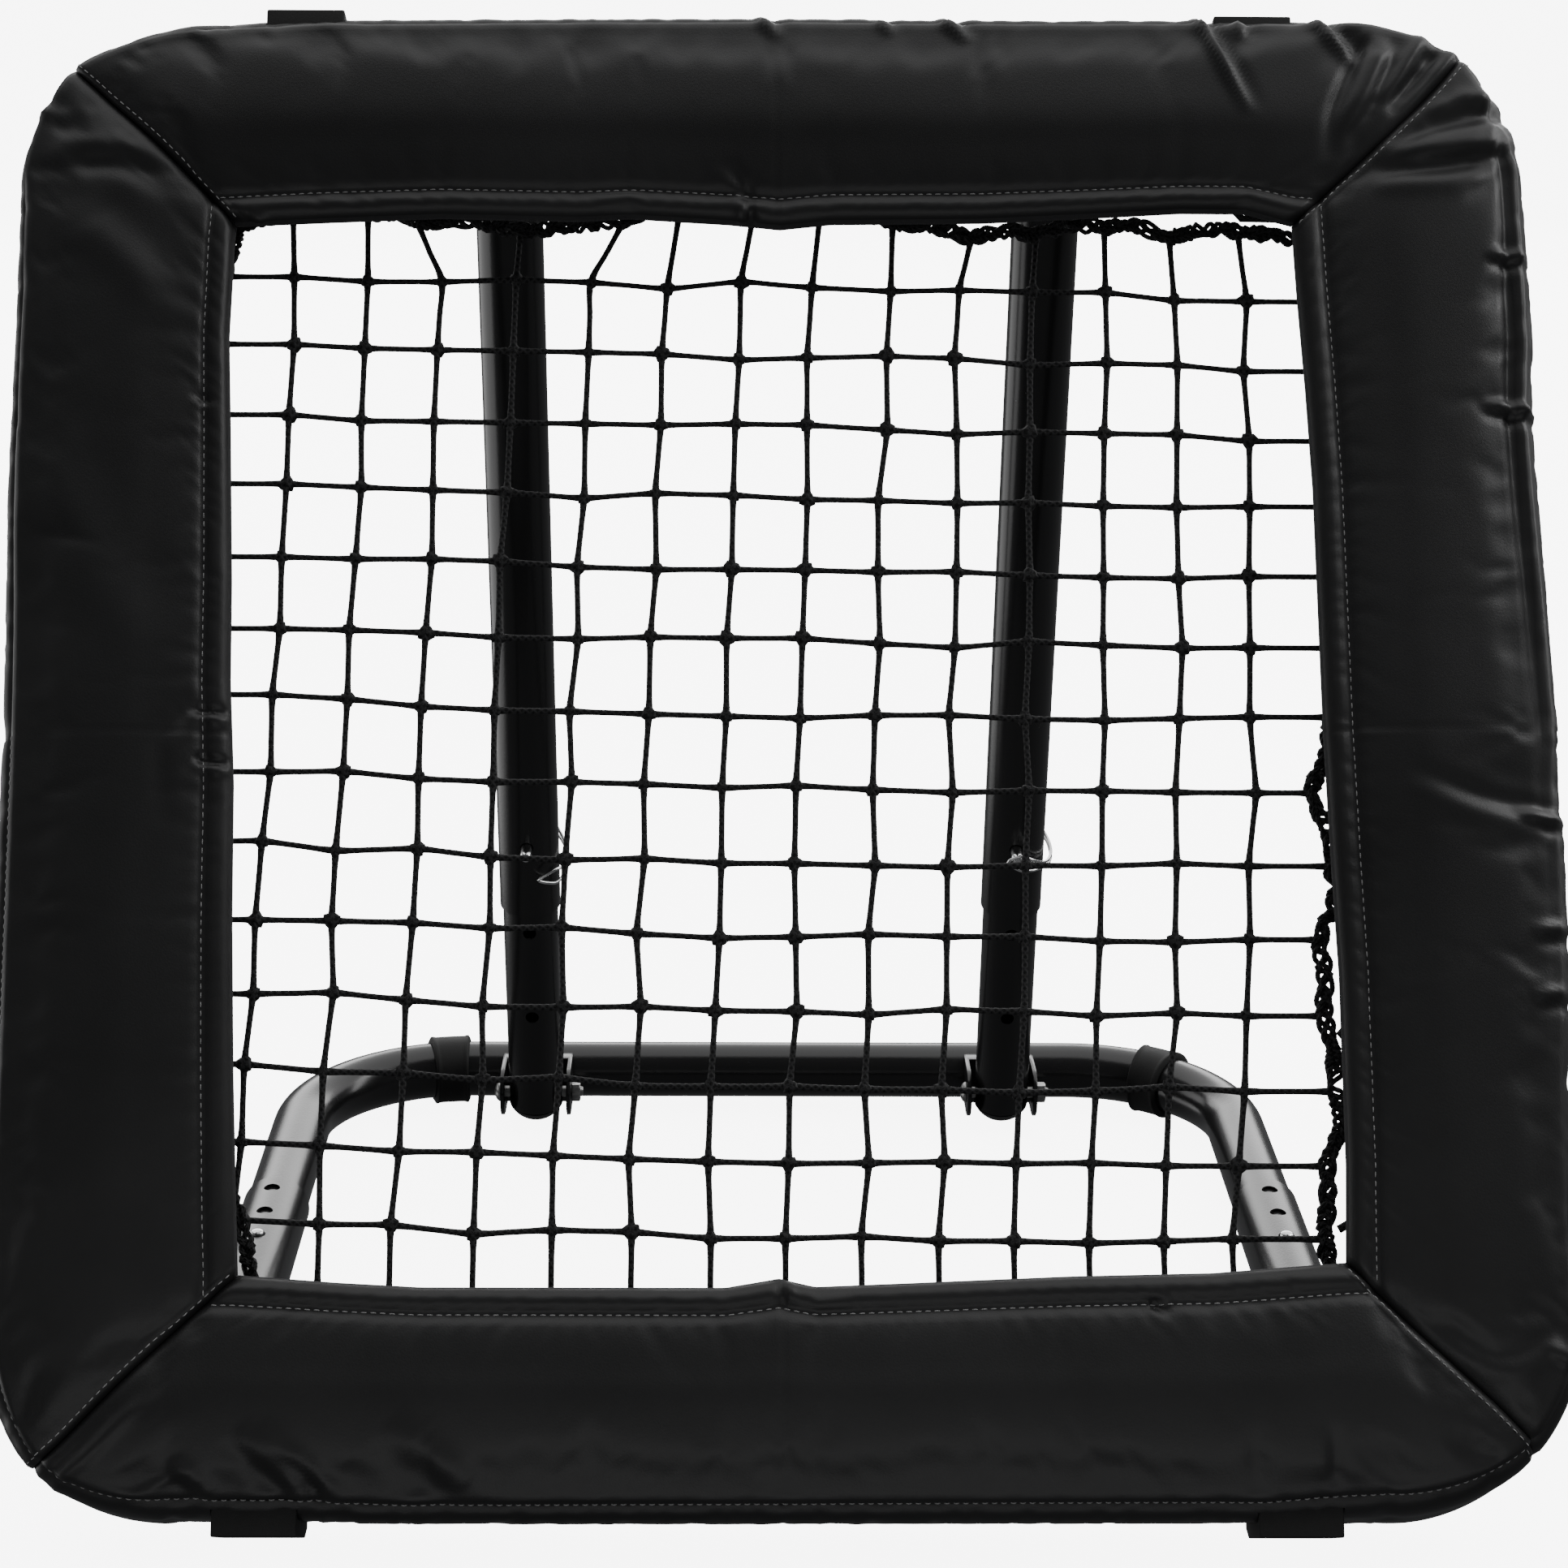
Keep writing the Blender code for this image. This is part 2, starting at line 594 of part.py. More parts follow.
def make_strap(frame, name, turn, along):
    """A hook-and-loop strap from the skirt's edge, round the tube, to the panel's back."""
    lift = GAP + STRAP_T / 2
    back = PAD_BACK + lift
    near = RAIL - HOLLOW - 0.002
    route = [(PAD_OUT - 0.004, back), (RAIL + HOLLOW - 0.004, back), (RAIL - 0.006, back),
             (near + 0.010, back - 0.004), (near + 0.002, back - 0.014), (near, 0.0),
             (near - 0.001, -HOLLOW + lift + 0.008), (near - 0.006, -HOLLOW + lift + 0.001),
             (near - 0.010, -HOLLOW + lift), (near - 0.024, -HOLLOW + lift)]
    shape = bmesh.new()
    rows = []
    for out, y in route:
        rows.append([shape.verts.new((along + side * STRAP_WIDTH / 2, y, out))
                     for side in (-1.0, 1.0)])
    for first, second in zip(rows, rows[1:]):
        shape.faces.new((first[0], first[1], second[1], second[0]))
    strap = add_piece(name, mesh_from(shape), "webbing", frame, turn=(0.0, turn, 0.0))
    solidify = strap.modifiers.new("web", "SOLIDIFY")
    solidify.thickness = STRAP_T
    solidify.offset = 0.0
    solidify.use_even_offset = True


def make_net(frame):
    """The square net as one lattice, its border rope, and the bungee that laces it up."""
    shape = bmesh.new()
    bmesh.ops.create_grid(shape, x_segments=MESHES, y_segments=MESHES, size=NET_HALF)
    bmesh.ops.rotate(shape, matrix=Matrix.Rotation(math.pi / 2, 3, "X"), verts=shape.verts)
    net = add_piece("net_mesh", mesh_from(shape, "net"), "cord", frame)
    lattice = net.modifiers.new("cords", "WIREFRAME")
    lattice.thickness = NET_CORD
    lattice.use_boundary = True
    lattice.use_even_offset = True
    lattice.use_replace = True
    # a point close on each side of a corner keeps the straight runs at full thickness
    rope = square_path(ROPE_HALF, 3 * ROPE_R, 0, 0, 4)
    add_piece("net_border_rope", pipe(rope, ROPE_R, ROPE_SIDES, closed=True), "cord", frame)
    add_piece("bungee_lacing", pipe(lace_route(), LACE_R, LACE_SIDES), "cord", frame)


def lace_route():
    """The bungee's way: from the border rope round the tube and back, all round the frame."""
    half_turns = 3
    route = []
    for quarter in range(4):
        angle = quarter * math.pi / 2
        # along runs up the right side, out towards the tube
        side = [(-LACE_PITCH * LACE_WRAPS / 2, LACE_TIE, 0.0)]
        for wrap in range(LACE_WRAPS):
            middle = (wrap - (LACE_WRAPS - 1) / 2) * LACE_PITCH
            for step in range(-half_turns, half_turns + 1):
                around = math.pi + step * LACE_STEP
                side.append((middle + step / half_turns * LACE_ADVANCE,
                             RAIL - LACE_RING * math.cos(around),
                             -LACE_RING * math.sin(around)))
            side.append((middle + LACE_PITCH / 2, LACE_TIE, 0.0))
        if quarter < 3:
            side.append((LACE_TIE, LACE_TIE, 0.0))
        for along, out, y in side:
            route.append((out * math.cos(angle) - along * math.sin(angle), y,
                          out * math.sin(angle) + along * math.cos(angle)))
    return route


def make_bolt(stem, side, parent, x_head, x_nut, y, z):
    """A domed bolt along X from its head's seat to its nut's seat, and the nut."""
    way = math.copysign(1.0, x_nut - x_head)
    grip = abs(x_nut - x_head) + 2 * GAP
    length = grip + NUT_T + THREAD_PROUD
    dome = [(HEAD_R * math.sin(t), HEAD_T * math.cos(t)) for t in
            (0.0, math.radians(35.0), math.radians(65.0))]
    profile = dome + [(HEAD_R, 0.0), (BOLT_R, 0.0), (BOLT_R, -length + 0.001),
                      (BOLT_R - 0.001, -length), (0.0, -length)]
    tilt = (0.0, -way * math.pi / 2, 0.0)
    add_piece(stem + "_bolt_" + side, turned(profile, 12), "zinc", parent,
              (x_head - way * GAP, y, z), tilt)
    nut_low = x_nut + way * GAP
    nut_high = nut_low + way * NUT_T
    nut = add_piece(stem + "_nut_" + side, rod(NUT_R, (nut_low, y, z), (nut_high, y, z), 6),
                    "zinc", parent)
    drill(nut, bore(BOLT_R + BOLT_SLIP, (nut_low - way * 0.01, y, z),
                    (nut_high + way * 0.01, y, z), 12))


def make_hinges(base, hinge):
    """The lugs on the frame's lower tube, the forks in the legs' ends, their bolts and nuts."""
    slot = LUG_WIDTH / 2 + SLIP
    half = slot + FORK_CHEEK
    rail = (LOWER_RAIL_Y - HINGE_Y, LOWER_RAIL_Z - HINGE_Z)
    for side, sign in SIDES.items():
        x = sign * LEG_X
        outline = link_outline((0.0, 0.0), LUG_R, rail, FRAME_TUBE_R - 0.003)
        lug = add_piece("hinge_lug_" + side, plate(outline, x - LUG_WIDTH / 2, x + LUG_WIDTH / 2),
                        "black_paint", hinge)
        drill(lug, bore(FRAME_TUBE_R + GAP, (x - half, *rail), (x + half, *rail), 24))
        drill(lug, bore(BOLT_R + BOLT_SLIP, (x - half, 0.0, 0.0), (x + half, 0.0, 0.0)))

        outline = (arc((HINGE_Y, HINGE_Z), FORK_R, math.pi / 2, 3 * math.pi / 2, 8)
                   + [(HINGE_Y + FORK_BACK, HINGE_Z - FORK_R),
                      (HINGE_Y + FORK_BACK, HINGE_Z + FORK_R)])
        fork = add_piece("leg_fork_" + side, plate(outline, x - half, x + half), "black_paint",
                         base)
        plug_r = inner_flat(LEG_TUBE_R, LEG_WALL, BASE_SIDES) - GAP
        weld_on(fork, rod(plug_r, (x, HINGE_Y + FORK_BACK - 0.003, BASE_Z),
                          (x, HINGE_Y + FORK_BACK + FORK_PLUG, BASE_Z)))
        drill(fork, box((x - slot, HINGE_Y - FORK_R - PAST, HINGE_Z - FORK_R - PAST),
                        (x + slot, HINGE_Y + LUG_R + FORK_CLEAR, HINGE_Z + FORK_R + PAST)))
        far = half + PAST
        drill(fork, bore(BOLT_R + BOLT_SLIP, (x - far, HINGE_Y, HINGE_Z),
                         (x + far, HINGE_Y, HINGE_Z)))
        make_bolt("hinge", side, base, x + sign * half, x - sign * half, HINGE_Y, HINGE_Z)


def bend_point(sign, angle):
    """A point on the middle line of the rear tube's bend, by the angle turned."""
    return (sign * (LEG_X - BEND_R + BEND_R * math.sin(angle)),
            REAR_Y - BEND_R * (1.0 - math.cos(angle)), BASE_Z)


def bend_points(sign):
    """The middle line of a whole bend, in short straight runs."""
    return [bend_point(sign, math.pi / 2 * i / BEND_STEPS) for i in range(BEND_STEPS + 1)]


def make_base(base):
    """The rear U tube, the front legs that sleeve over it, the buttons and the rubber feet."""
    route = [(-LEG_X, BUTTON_Y - LEG_INSERT, BASE_Z)]
    route += reversed(bend_points(-1.0))
    route += bend_points(1.0)
    route.append((LEG_X, BUTTON_Y - LEG_INSERT, BASE_Z))
    rear = add_piece("rear_base_tube", pipe(route, REAR_TUBE_R, BASE_SIDES, capped=False),
                     "black_paint", base)
    hollow(rear, REAR_WALL)
    above = BASE_Z + LEG_TUBE_R + PAST
    for side, sign in SIDES.items():
        x = sign * LEG_X
        drill(rear, bore(BUTTON_R + SLIP, (x, BUTTON_Y, BASE_Z), (x, BUTTON_Y, above)))
        front = HINGE_Y + FORK_BACK + GAP
        leg = add_piece("front_leg_" + side,
                        pipe([(x, front, BASE_Z), (x, LEG_END_Y, BASE_Z)], LEG_TUBE_R,
                             BASE_SIDES, capped=False), "black_paint", base)
        hollow(leg, LEG_WALL)
        for hole in range(LEG_HOLES):
            y = BUTTON_Y + hole * LEG_HOLE_APART
            drill(leg, bore(LEG_HOLE_R, (x, y, BASE_Z), (x, y, above)))
        make_button(base, side, x)
        make_rear_foot(base, side, sign)


def make_button(base, side, x):
    """A spring button in the leg's front hole, held in by its flange inside the tube."""
    button = add_empty("button_" + side, base, (x, BUTTON_Y, BASE_Z))
    top = LEG_TUBE_R + BUTTON_PROUD
    bore_r = inner_flat(REAR_TUBE_R, REAR_WALL, BASE_SIDES)
    under = math.sqrt(bore_r ** 2 - BUTTON_FLANGE_R ** 2) - GAP
    profile = [(0.0, top), (BUTTON_R * 0.55, top - 0.0006), (BUTTON_R, top - 0.0022),
               (BUTTON_R, under), (BUTTON_FLANGE_R, under),
               (BUTTON_FLANGE_R, under - BUTTON_FLANGE_T), (0.0, under - BUTTON_FLANGE_T)]
    add_piece("leg_button_" + side, turned(profile, 12), "chrome", button)


def make_rear_foot(base, side, sign):
    """A rubber ring on the rear tube's bend, with a flat sole on the floor."""
    half = FOOT_LENGTH / BEND_R / 2
    middle = FOOT_ANGLE[side]
    ring = [bend_point(sign, middle + half * step) for step in (-1.0, 0.0, 1.0)]
    foot = add_piece("rear_foot_" + side,
                     pipe(ring, REAR_TUBE_R + FOOT_RUBBER + FOOT_SOLE, BASE_SIDES), "rubber",
                     base)
    room = (REAR_TUBE_R + GAP) / math.cos(math.pi / BASE_SIDES)
    drill(foot, pipe([(0.0, REAR_Y, BASE_Z)] + bend_points(sign), room, BASE_SIDES))
    centre = Vector(bend_point(sign, middle))
    reach = FOOT_LENGTH + PAST
    drill(foot, box((centre.x - reach, centre.y - reach, -reach),
                    (centre.x + reach, centre.y + reach, 0.0)))


def make_bracket(name, parent, eye, root, x, ear, ear_r, root_tube_r, root_r):
    """Two ears and a web in one bent plate, welded to a tube behind the ears' eye."""
    outline = link_outline(eye, ear_r, root, root_r)
    bracket = add_piece(name, plate(outline, x - ear - EAR_T, x + ear + EAR_T), "black_paint",
                        parent)
    far = ear + EAR_T + PAST
    drill(bracket, bore(root_tube_r + GAP, (x - far, *root), (x + far, *root), 24))
    drill(bracket, bore(BOLT_R + BOLT_SLIP, (x - far, *eye), (x + far, *eye)))
    # the slot runs from beyond the eye to the web, square to the line from eye to tube
    way = math.atan2(root[1] - eye[1], root[0] - eye[0])
    reach = math.hypot(root[0] - eye[0], root[1] - eye[1]) - root_tube_r - GAP - WEB_T
    slot = box((-ear, -2 * ear_r, -2 * ear_r), (ear, reach, 2 * ear_r))
    drill(bracket, slot, (x, *eye), (way, 0.0, 0.0))


def make_struts(base, frame):
    """Both telescoping struts with their brackets, bolts, end plugs, lock pins and bails."""
    lower_ear = LOWER_R + LOWER_EAR_GAP
    upper_ear = UPPER_R + UPPER_EAR_GAP
    for side, sign in SIDES.items():
        x = sign * STRUT_X
        make_bracket("strut_bracket_lower_" + side, base, (FOOT_Y, FOOT_Z), (REAR_Y, BASE_Z), x,
                     lower_ear, LOWER_EAR_R, REAR_TUBE_R, LOWER_EAR_R)
        ends = (x + lower_ear + EAR_T, x - lower_ear - EAR_T)
        make_bolt("strut_foot", side, base, ends[1], ends[0], FOOT_Y, FOOT_Z)
        top = (TOP_PIVOT_BACK, TOP_V)
        make_bracket("strut_bracket_upper_" + side, frame, top, (0.0, RAIL), x, upper_ear,
                     UPPER_EAR_R, FRAME_TUBE_R, UPPER_ROOT_R)
        ends = (x + upper_ear + EAR_T, x - upper_ear - EAR_T)
        make_bolt("strut_top", side, frame, ends[1], ends[0], *top)

        foot = add_empty("strut_foot_" + side, base, (x, FOOT_Y, FOOT_Z), (STRUT_LEAN, 0.0, 0.0))
        make_lower_strut(foot, side)
        slide = add_empty("strut_slide_" + side, foot)
        make_upper_strut(slide, side)
        make_lock_pin(slide, side)


def make_lower_strut(foot, side):
    """The lower strut tube and the domed plug in its end, both crossed by the pivot bolt."""
    far = UPPER_R + PAST
    top = PIN_AT + LOWER_ABOVE_PIN
    tube = add_piece("strut_lower_tube_" + side,
                     pipe([(0.0, 0.0, -LOWER_END), (0.0, 0.0, top)], LOWER_R, STRUT_SIDES,
                          capped=False), "black_paint", foot)
    hollow(tube, LOWER_WALL)
    drill(tube, bore(BOLT_R + BOLT_SLIP, (-far, 0.0, 0.0), (far, 0.0, 0.0)))
    for hole in range(PIN_IN_HOLE):
        z = PIN_HOLE_FIRST + hole * PIN_HOLE_APART
        drill(tube, bore(PIN_HOLE_R, (0.0, -far, z), (0.0, far, z)))
    # above the pin, hidden in the upper tube, the hole is drawn out into a slot
    drill(tube, bore(PIN_HOLE_R, (0.0, -far, PIN_AT), (0.0, far, PIN_AT)))
    drill(tube, box((-PIN_HOLE_R, -far, PIN_AT), (PIN_HOLE_R, far, top + far)))

    spigot = inner_flat(LOWER_R, LOWER_WALL, STRUT_SIDES) - GAP
    seat = -LOWER_END - GAP
    rim = math.asin(-seat / PLUG_DOME_R)
    edge = PLUG_DOME_R * math.cos(rim)
    profile = [(0.0, PLUG_LONG), (spigot, PLUG_LONG), (spigot, seat), (edge, seat)]
    steps = 4
    for i in range(1, steps + 1):
        angle = rim + (math.pi / 2 - rim) * i / steps
        profile.append((PLUG_DOME_R * math.cos(angle) if i < steps else 0.0,
                        -PLUG_DOME_R * math.sin(angle)))
    plug = add_piece("strut_end_plug_" + side, turned(profile, 16), "plastic", foot)
    drill(plug, bore(BOLT_R + BOLT_SLIP, (-far, 0.0, 0.0), (far, 0.0, 0.0)))


def make_upper_strut(slide, side):
    """The upper strut tube, with the pin's hole and the wide hole of the open pivot."""
    far = UPPER_R + PAST
    tube = add_piece("strut_upper_tube_" + side,
                     pipe([(0.0, 0.0, PIN_AT - UPPER_BELOW_PIN),
                           (0.0, 0.0, STRUT_LENGTH + UPPER_END)], UPPER_R, STRUT_SIDES,
                          capped=False), "black_paint", slide)
    hollow(tube, UPPER_WALL)
    drill(tube, bore(PIN_HOLE_R, (0.0, -far, PIN_AT), (0.0, far, PIN_AT)))
    drill(tube, bore(BOLT_R + OPEN_PIVOT_CLEAR, (-far, 0.0, STRUT_LENGTH),
                     (far, 0.0, STRUT_LENGTH)))


def make_lock_pin(slide, side):
    """The lock pin through both strut tubes, its head behind, and its wire bail."""
    pin = add_empty("pin_" + side, slide, (0.0, 0.0, PIN_AT))
    head_low = PIN_HEAD_MID - PIN_HEAD_T / 2
    head_high = PIN_HEAD_MID + PIN_HEAD_T / 2
    tip = -(UPPER_R + PIN_PROUD)
    profile = [(0.0, head_high), (PIN_HEAD_R - 0.0012, head_high),
               (PIN_HEAD_R, head_high - 0.0012), (PIN_HEAD_R, head_low), (PIN_R, head_low),
               (PIN_R, tip + 0.0030), (PIN_R * 0.72, tip + 0.0008), (0.0, tip)]
    body = add_piece("lock_pin_" + side, turned(profile, 12), "chrome", pin,
                     turn=(-math.pi / 2, 0.0, 0.0))
    far = PIN_HEAD_R + PAST
    drill(body, bore(WIRE_R + GAP, (0.0, PIN_HEAD_MID, -far), (0.0, PIN_HEAD_MID, far), 8))

    bail = add_empty("bail_" + side, pin, (0.0, PIN_HEAD_MID, 0.0))
    route = [(0.0, 0.0, WIRE_END_IN), (0.0, 0.0, WIRE_END_OUT)]
    there = [(right, -forward - PIN_HEAD_MID, up + spread)
             for right, forward, up, spread in BAIL_ROUTE[side]]
    back = [(right, -forward - PIN_HEAD_MID, up - spread)
            for right, forward, up, spread in reversed(BAIL_ROUTE[side][:-1])]
    route += there + back + [(0.0, 0.0, -WIRE_END_OUT), (0.0, 0.0, -WIRE_END_IN)]
    add_piece("pin_bail_" + side, pipe(route, WIRE_R, WIRE_SIDES), "chrome", bail)


def stand_on_origin(root):
    """Move the whole thing so that the middle of its footprint is the origin."""
    bpy.context.view_layer.update()
    graph = bpy.context.evaluated_depsgraph_get()
    spread = [[], []]
    for piece in PARTS.objects:
        if piece.type == "EMPTY":
            continue
        ready = piece.evaluated_get(graph)
        for vertex in ready.data.vertices:
            place = ready.matrix_world @ vertex.co
            spread[0].append(place.x)
            spread[1].append(place.y)
    root.location.x = -(min(spread[0]) + max(spread[0])) / 2
    root.location.y = -(min(spread[1]) + max(spread[1])) / 2


clear_scene()
PARTS = new_collection("rebounder_net")
CUTTERS = new_collection("cutters")

rebounder = add_empty("rebounder")
base_group = add_empty("base", rebounder)
hinge_group = add_empty("frame_hinge", rebounder, (0.0, HINGE_Y, HINGE_Z))
frame_group = add_empty("frame_plane", hinge_group, (0.0, FRAME_Y - HINGE_Y, FRAME_Z - HINGE_Z),
                        (-LEAN, 0.0, 0.0))
make_base(base_group)
make_hinges(base_group, hinge_group)
make_frame_tube(frame_group)
make_foot_blocks(frame_group)
make_net(frame_group)
make_pads(frame_group)
make_struts(base_group, frame_group)
stand_on_origin(rebounder)
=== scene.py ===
import math

import bmesh
import bpy
import numpy as np
from mathutils import Matrix


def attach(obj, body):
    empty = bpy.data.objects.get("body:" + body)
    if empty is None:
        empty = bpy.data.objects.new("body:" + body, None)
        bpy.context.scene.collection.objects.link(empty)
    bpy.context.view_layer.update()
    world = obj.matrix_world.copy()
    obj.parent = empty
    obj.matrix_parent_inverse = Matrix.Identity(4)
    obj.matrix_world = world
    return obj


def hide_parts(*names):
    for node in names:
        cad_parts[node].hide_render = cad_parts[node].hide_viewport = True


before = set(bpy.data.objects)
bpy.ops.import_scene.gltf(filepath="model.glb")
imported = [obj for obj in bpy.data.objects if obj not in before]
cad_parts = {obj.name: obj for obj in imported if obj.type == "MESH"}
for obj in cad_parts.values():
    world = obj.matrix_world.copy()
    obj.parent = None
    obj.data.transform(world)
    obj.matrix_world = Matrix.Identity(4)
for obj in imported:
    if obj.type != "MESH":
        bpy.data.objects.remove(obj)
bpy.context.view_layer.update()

print("rebounder net: the solids are in")

# where the solids stand, in metres
stand = {
    "lean": math.radians(30.0),          # of the net frame, back from upright
    "frameMiddle": (-0.105393, 0.399702),  # y and z of the frame's middle
    "rail": 0.401,                       # middle of the frame's tube, from the frame's middle
    "hinge": (-0.267216, 0.024),         # y and z of the hinge bolts
    "legX": 0.330,
    "rearY": 0.328784,
    "baseZ": 0.024,
    "strutX": 0.1685,
    "strutFoot": (0.282784, 0.025),      # y and z of the struts' lower bolts
    "strutLean": 0.21797,
    "strutLength": 0.69217,
    "pinAt": 0.216,                      # up the strut, from its lower bolt
}
sides = {"left": -1.0, "right": 1.0}


# shader maths
class Wire:
    # a socket of a material's tree; + - * on it add Math nodes
    def __init__(self, tree, socket=None):
        self.tree = tree
        self.socket = socket

    def node(self, kind, settings=None, sockets=None, out=0):
        made = self.tree.nodes.new("ShaderNode" + kind)
        settings = dict(settings or {})
        stops = settings.pop("stops", None)
        for name, value in settings.items():
            setattr(made, name, value)
        if stops:
            ramp = made.color_ramp.elements
            while len(ramp) < len(stops):
                ramp.new(0.5)
            for stop, (place, grey) in zip(ramp, stops):
                stop.position = place
                stop.color = (grey, grey, grey, 1.0)
        for name, value in (sockets or {}).items():
            if isinstance(value, Wire):
                self.tree.links.new(value.socket, made.inputs[name])
            else:
                made.inputs[name].default_value = value
        return Wire(self.tree, made.outputs[out])

    def maths(self, operation, *values, held=False):
        return self.node("Math", {"operation": operation, "use_clamp": held},
                         dict(enumerate(values)))

    def __add__(self, other):
        return self.maths("ADD", self, other)

    __radd__ = __add__

    def __sub__(self, other):
        return self.maths("SUBTRACT", self, other)

    def __rsub__(self, other):
        return self.maths("SUBTRACT", other, self)

    def __mul__(self, other):
        return self.maths("MULTIPLY", self, other)

    __rmul__ = __mul__

    def sine(self):
        return self.maths("SINE", self)

    def most(self, other):
        return self.maths("MAXIMUM", self, other)

    def rise(self, low, high):
        # 0 below low, 1 above high, straight between
        return self.maths("MULTIPLY_ADD", self, 1.0 / (high - low), -low / (high - low), held=True)

    def noise(self, scale, detail=2.0, rough=0.5, distortion=0.0):
        return self.node("TexNoise", None, {"Vector": self, "Scale": scale, "Detail": detail,
                                            "Roughness": rough, "Distortion": distortion})

    def stretched(self, x, y, z):
        return self.node("Mapping", None, {"Vector": self, "Scale": (x, y, z)})

    def turns(self, axis, length):
        # the angle along the map's X or Y, one whole turn for each length
        part = self.node("SeparateXYZ", None, {0: self}, out=axis)
        return part * (2.0 * math.pi / length)

    def colours(self, first, second):
        # this wire mixes from the first colour to the second; either may be a wire itself
        first, second = (c if isinstance(c, Wire) else (*c, 1.0) for c in (first, second))
        return self.node("Mix", {"data_type": "RGBA"}, {0: self, 6: first, 7: second}, out=2)


def newFinish(name):
    # a material with the wires of its object coordinates and of its pieces' own map
    made = bpy.data.materials.new(name)
    made.use_nodes = True
    wire = Wire(made.node_tree)
    return made, wire.node("TexCoord", out="Object"), wire.node("TexCoord", out="UV")


def closeFinish(made, colour, roughness, height, **fixed):
    # height is in metres; fixed values stay on the shader's own sockets
    shader = made.node_tree.nodes["Principled BSDF"]
    bump = Wire(made.node_tree).node("Bump", None, {"Strength": 1.0, "Distance": 1.0,
                                                    "Height": height})
    for name, wire in (("Base Color", colour), ("Roughness", roughness), ("Normal", bump)):
        made.node_tree.links.new(wire.socket, shader.inputs[name])
    for name, value in fixed.items():
        shader.inputs[name].default_value = value
    return made


# finishes: colours are linear, sizes in metres
paintLook = {"dark": (0.0100, 0.0100, 0.0102), "light": (0.0160, 0.0160, 0.0164),
             "rough": 0.17, "roughSpread": 0.09, "peel": 0.00004, "peelSize": 0.0016,
             "scuff": (0.10, 0.10, 0.10)}


def makePaint():
    # powder coat: a fine orange peel, cloudy gloss, and thin rubbed lines here and there
    made, at, _ = newFinish("blackPaint")
    cloud = at.noise(9.0, 4.0)
    peel = at.noise(1.0 / paintLook["peelSize"], 2.0)
    lines = at.stretched(9.0, 60.0, 9.0).noise(14.0, 5.0, 0.7, 1.2)
    rubbed = lines.rise(0.685, 0.73) * at.noise(16.0, 2.0).rise(0.52, 0.64)
    coat = cloud.colours(paintLook["dark"], paintLook["light"])
    roughness = paintLook["rough"] + cloud * paintLook["roughSpread"] + rubbed * 0.25
    return closeFinish(made, (rubbed * 0.55).colours(coat, paintLook["scuff"]), roughness,
                       peel * paintLook["peel"], **{"Specular IOR Level": 0.50})


vinylLook = {"dark": (0.0105, 0.0105, 0.0107), "light": (0.0170, 0.0170, 0.0174),
             "rough": 0.36, "roughSpread": 0.12, "grain": 0.00005, "grainSize": 0.0011,
             "crease": 0.0010, "creaseSize": 0.085}


def makeVinyl():
    # PVC cloth: a faint pebbled grain, soft waves and a cloudy half gloss
    made, at, _ = newFinish("blackVinyl")
    cloud = at.noise(7.0, 5.0, 0.55)
    pebbles = at.node("TexVoronoi", {"feature": "SMOOTH_F1"},
                      {"Vector": at, "Scale": 1.0 / vinylLook["grainSize"], "Randomness": 1.0})
    fine = at.noise(1400.0, 2.0)
    crease = at.noise(1.0 / vinylLook["creaseSize"], 2.0, 0.4, 0.3)
    height = pebbles * vinylLook["grain"] + fine * 0.00001 + crease * vinylLook["crease"]
    roughness = vinylLook["rough"] + cloud * vinylLook["roughSpread"] + pebbles * 0.05
    return closeFinish(made, cloud.rise(0.3, 0.7).colours(vinylLook["dark"], vinylLook["light"]),
                       roughness, height, **{"Specular IOR Level": 0.40})


liningLook = {"dark": (0.010, 0.010, 0.011), "light": (0.050, 0.050, 0.052), "weave": 0.0011}


def makeLining():
    # the cloth back of the vinyl: a plain weave, one thread over and one under
    made, at, uv = newFinish("wovenBack")
    weave = uv.turns("X", liningLook["weave"]).sine() * uv.turns("Y", liningLook["weave"]).sine()
    # painted shade: the weave's colour is darker where the threads dip and lighter where they rise
    colour = (weave * 0.5 + 0.5).colours(liningLook["dark"], liningLook["light"])
    return closeFinish(made, colour, at.noise(40.0, 3.0) * 0.12 + 0.80,
                       weave * 0.00012 + at.noise(25.0, 3.0) * 0.002)


rubberLook = {"dark": (0.0160, 0.0160, 0.0160), "light": (0.0260, 0.0260, 0.0256), "rough": 0.60}


def makeRubber():
    # moulded rubber: a matt skin, faintly bloomed, with fine pits
    made, at, _ = newFinish("mouldedRubber")
    bloom = at.noise(38.0, 5.0, 0.6)
    pits = at.noise(900.0, 2.0)
    return closeFinish(made, bloom.rise(0.3, 0.75).colours(rubberLook["dark"], rubberLook["light"]),
                       rubberLook["rough"] + bloom * 0.2, pits * 0.00008 + bloom * 0.0002,
                       **{"Specular IOR Level": 0.25})


cordLook = {"dark": (0.0030, 0.0030, 0.0031), "light": (0.030, 0.030, 0.031), "pitch": 0.0046,
            "strands": 3.0}


def makeCord(name, pitch, strands, tall):
    # a braid: two sets of strands wound opposite ways, read from the cord's own map,
    # whose u is the share of a turn round the cord and v the metres along it
    made, at, uv = newFinish(name)
    around, along = uv.turns("X", 1.0 / strands), uv.turns("Y", pitch)
    lift = (around + along).sine().most((around - along).sine()).rise(-0.4, 1.0)
    fuzz = at.noise(1500.0, 3.0)
    # painted shade: the braid's colour is darker in the grooves between strands and lighter on
    # their crowns, scaled by a random fuzz
    colour = (lift * (fuzz * 0.5 + 0.6)).colours(cordLook["dark"], cordLook["light"])
    return closeFinish(made, colour, 0.62 + fuzz * 0.3, lift * tall + fuzz * 0.00008,
                       **{"Sheen Weight": 0.02, "Specular IOR Level": 0.25})


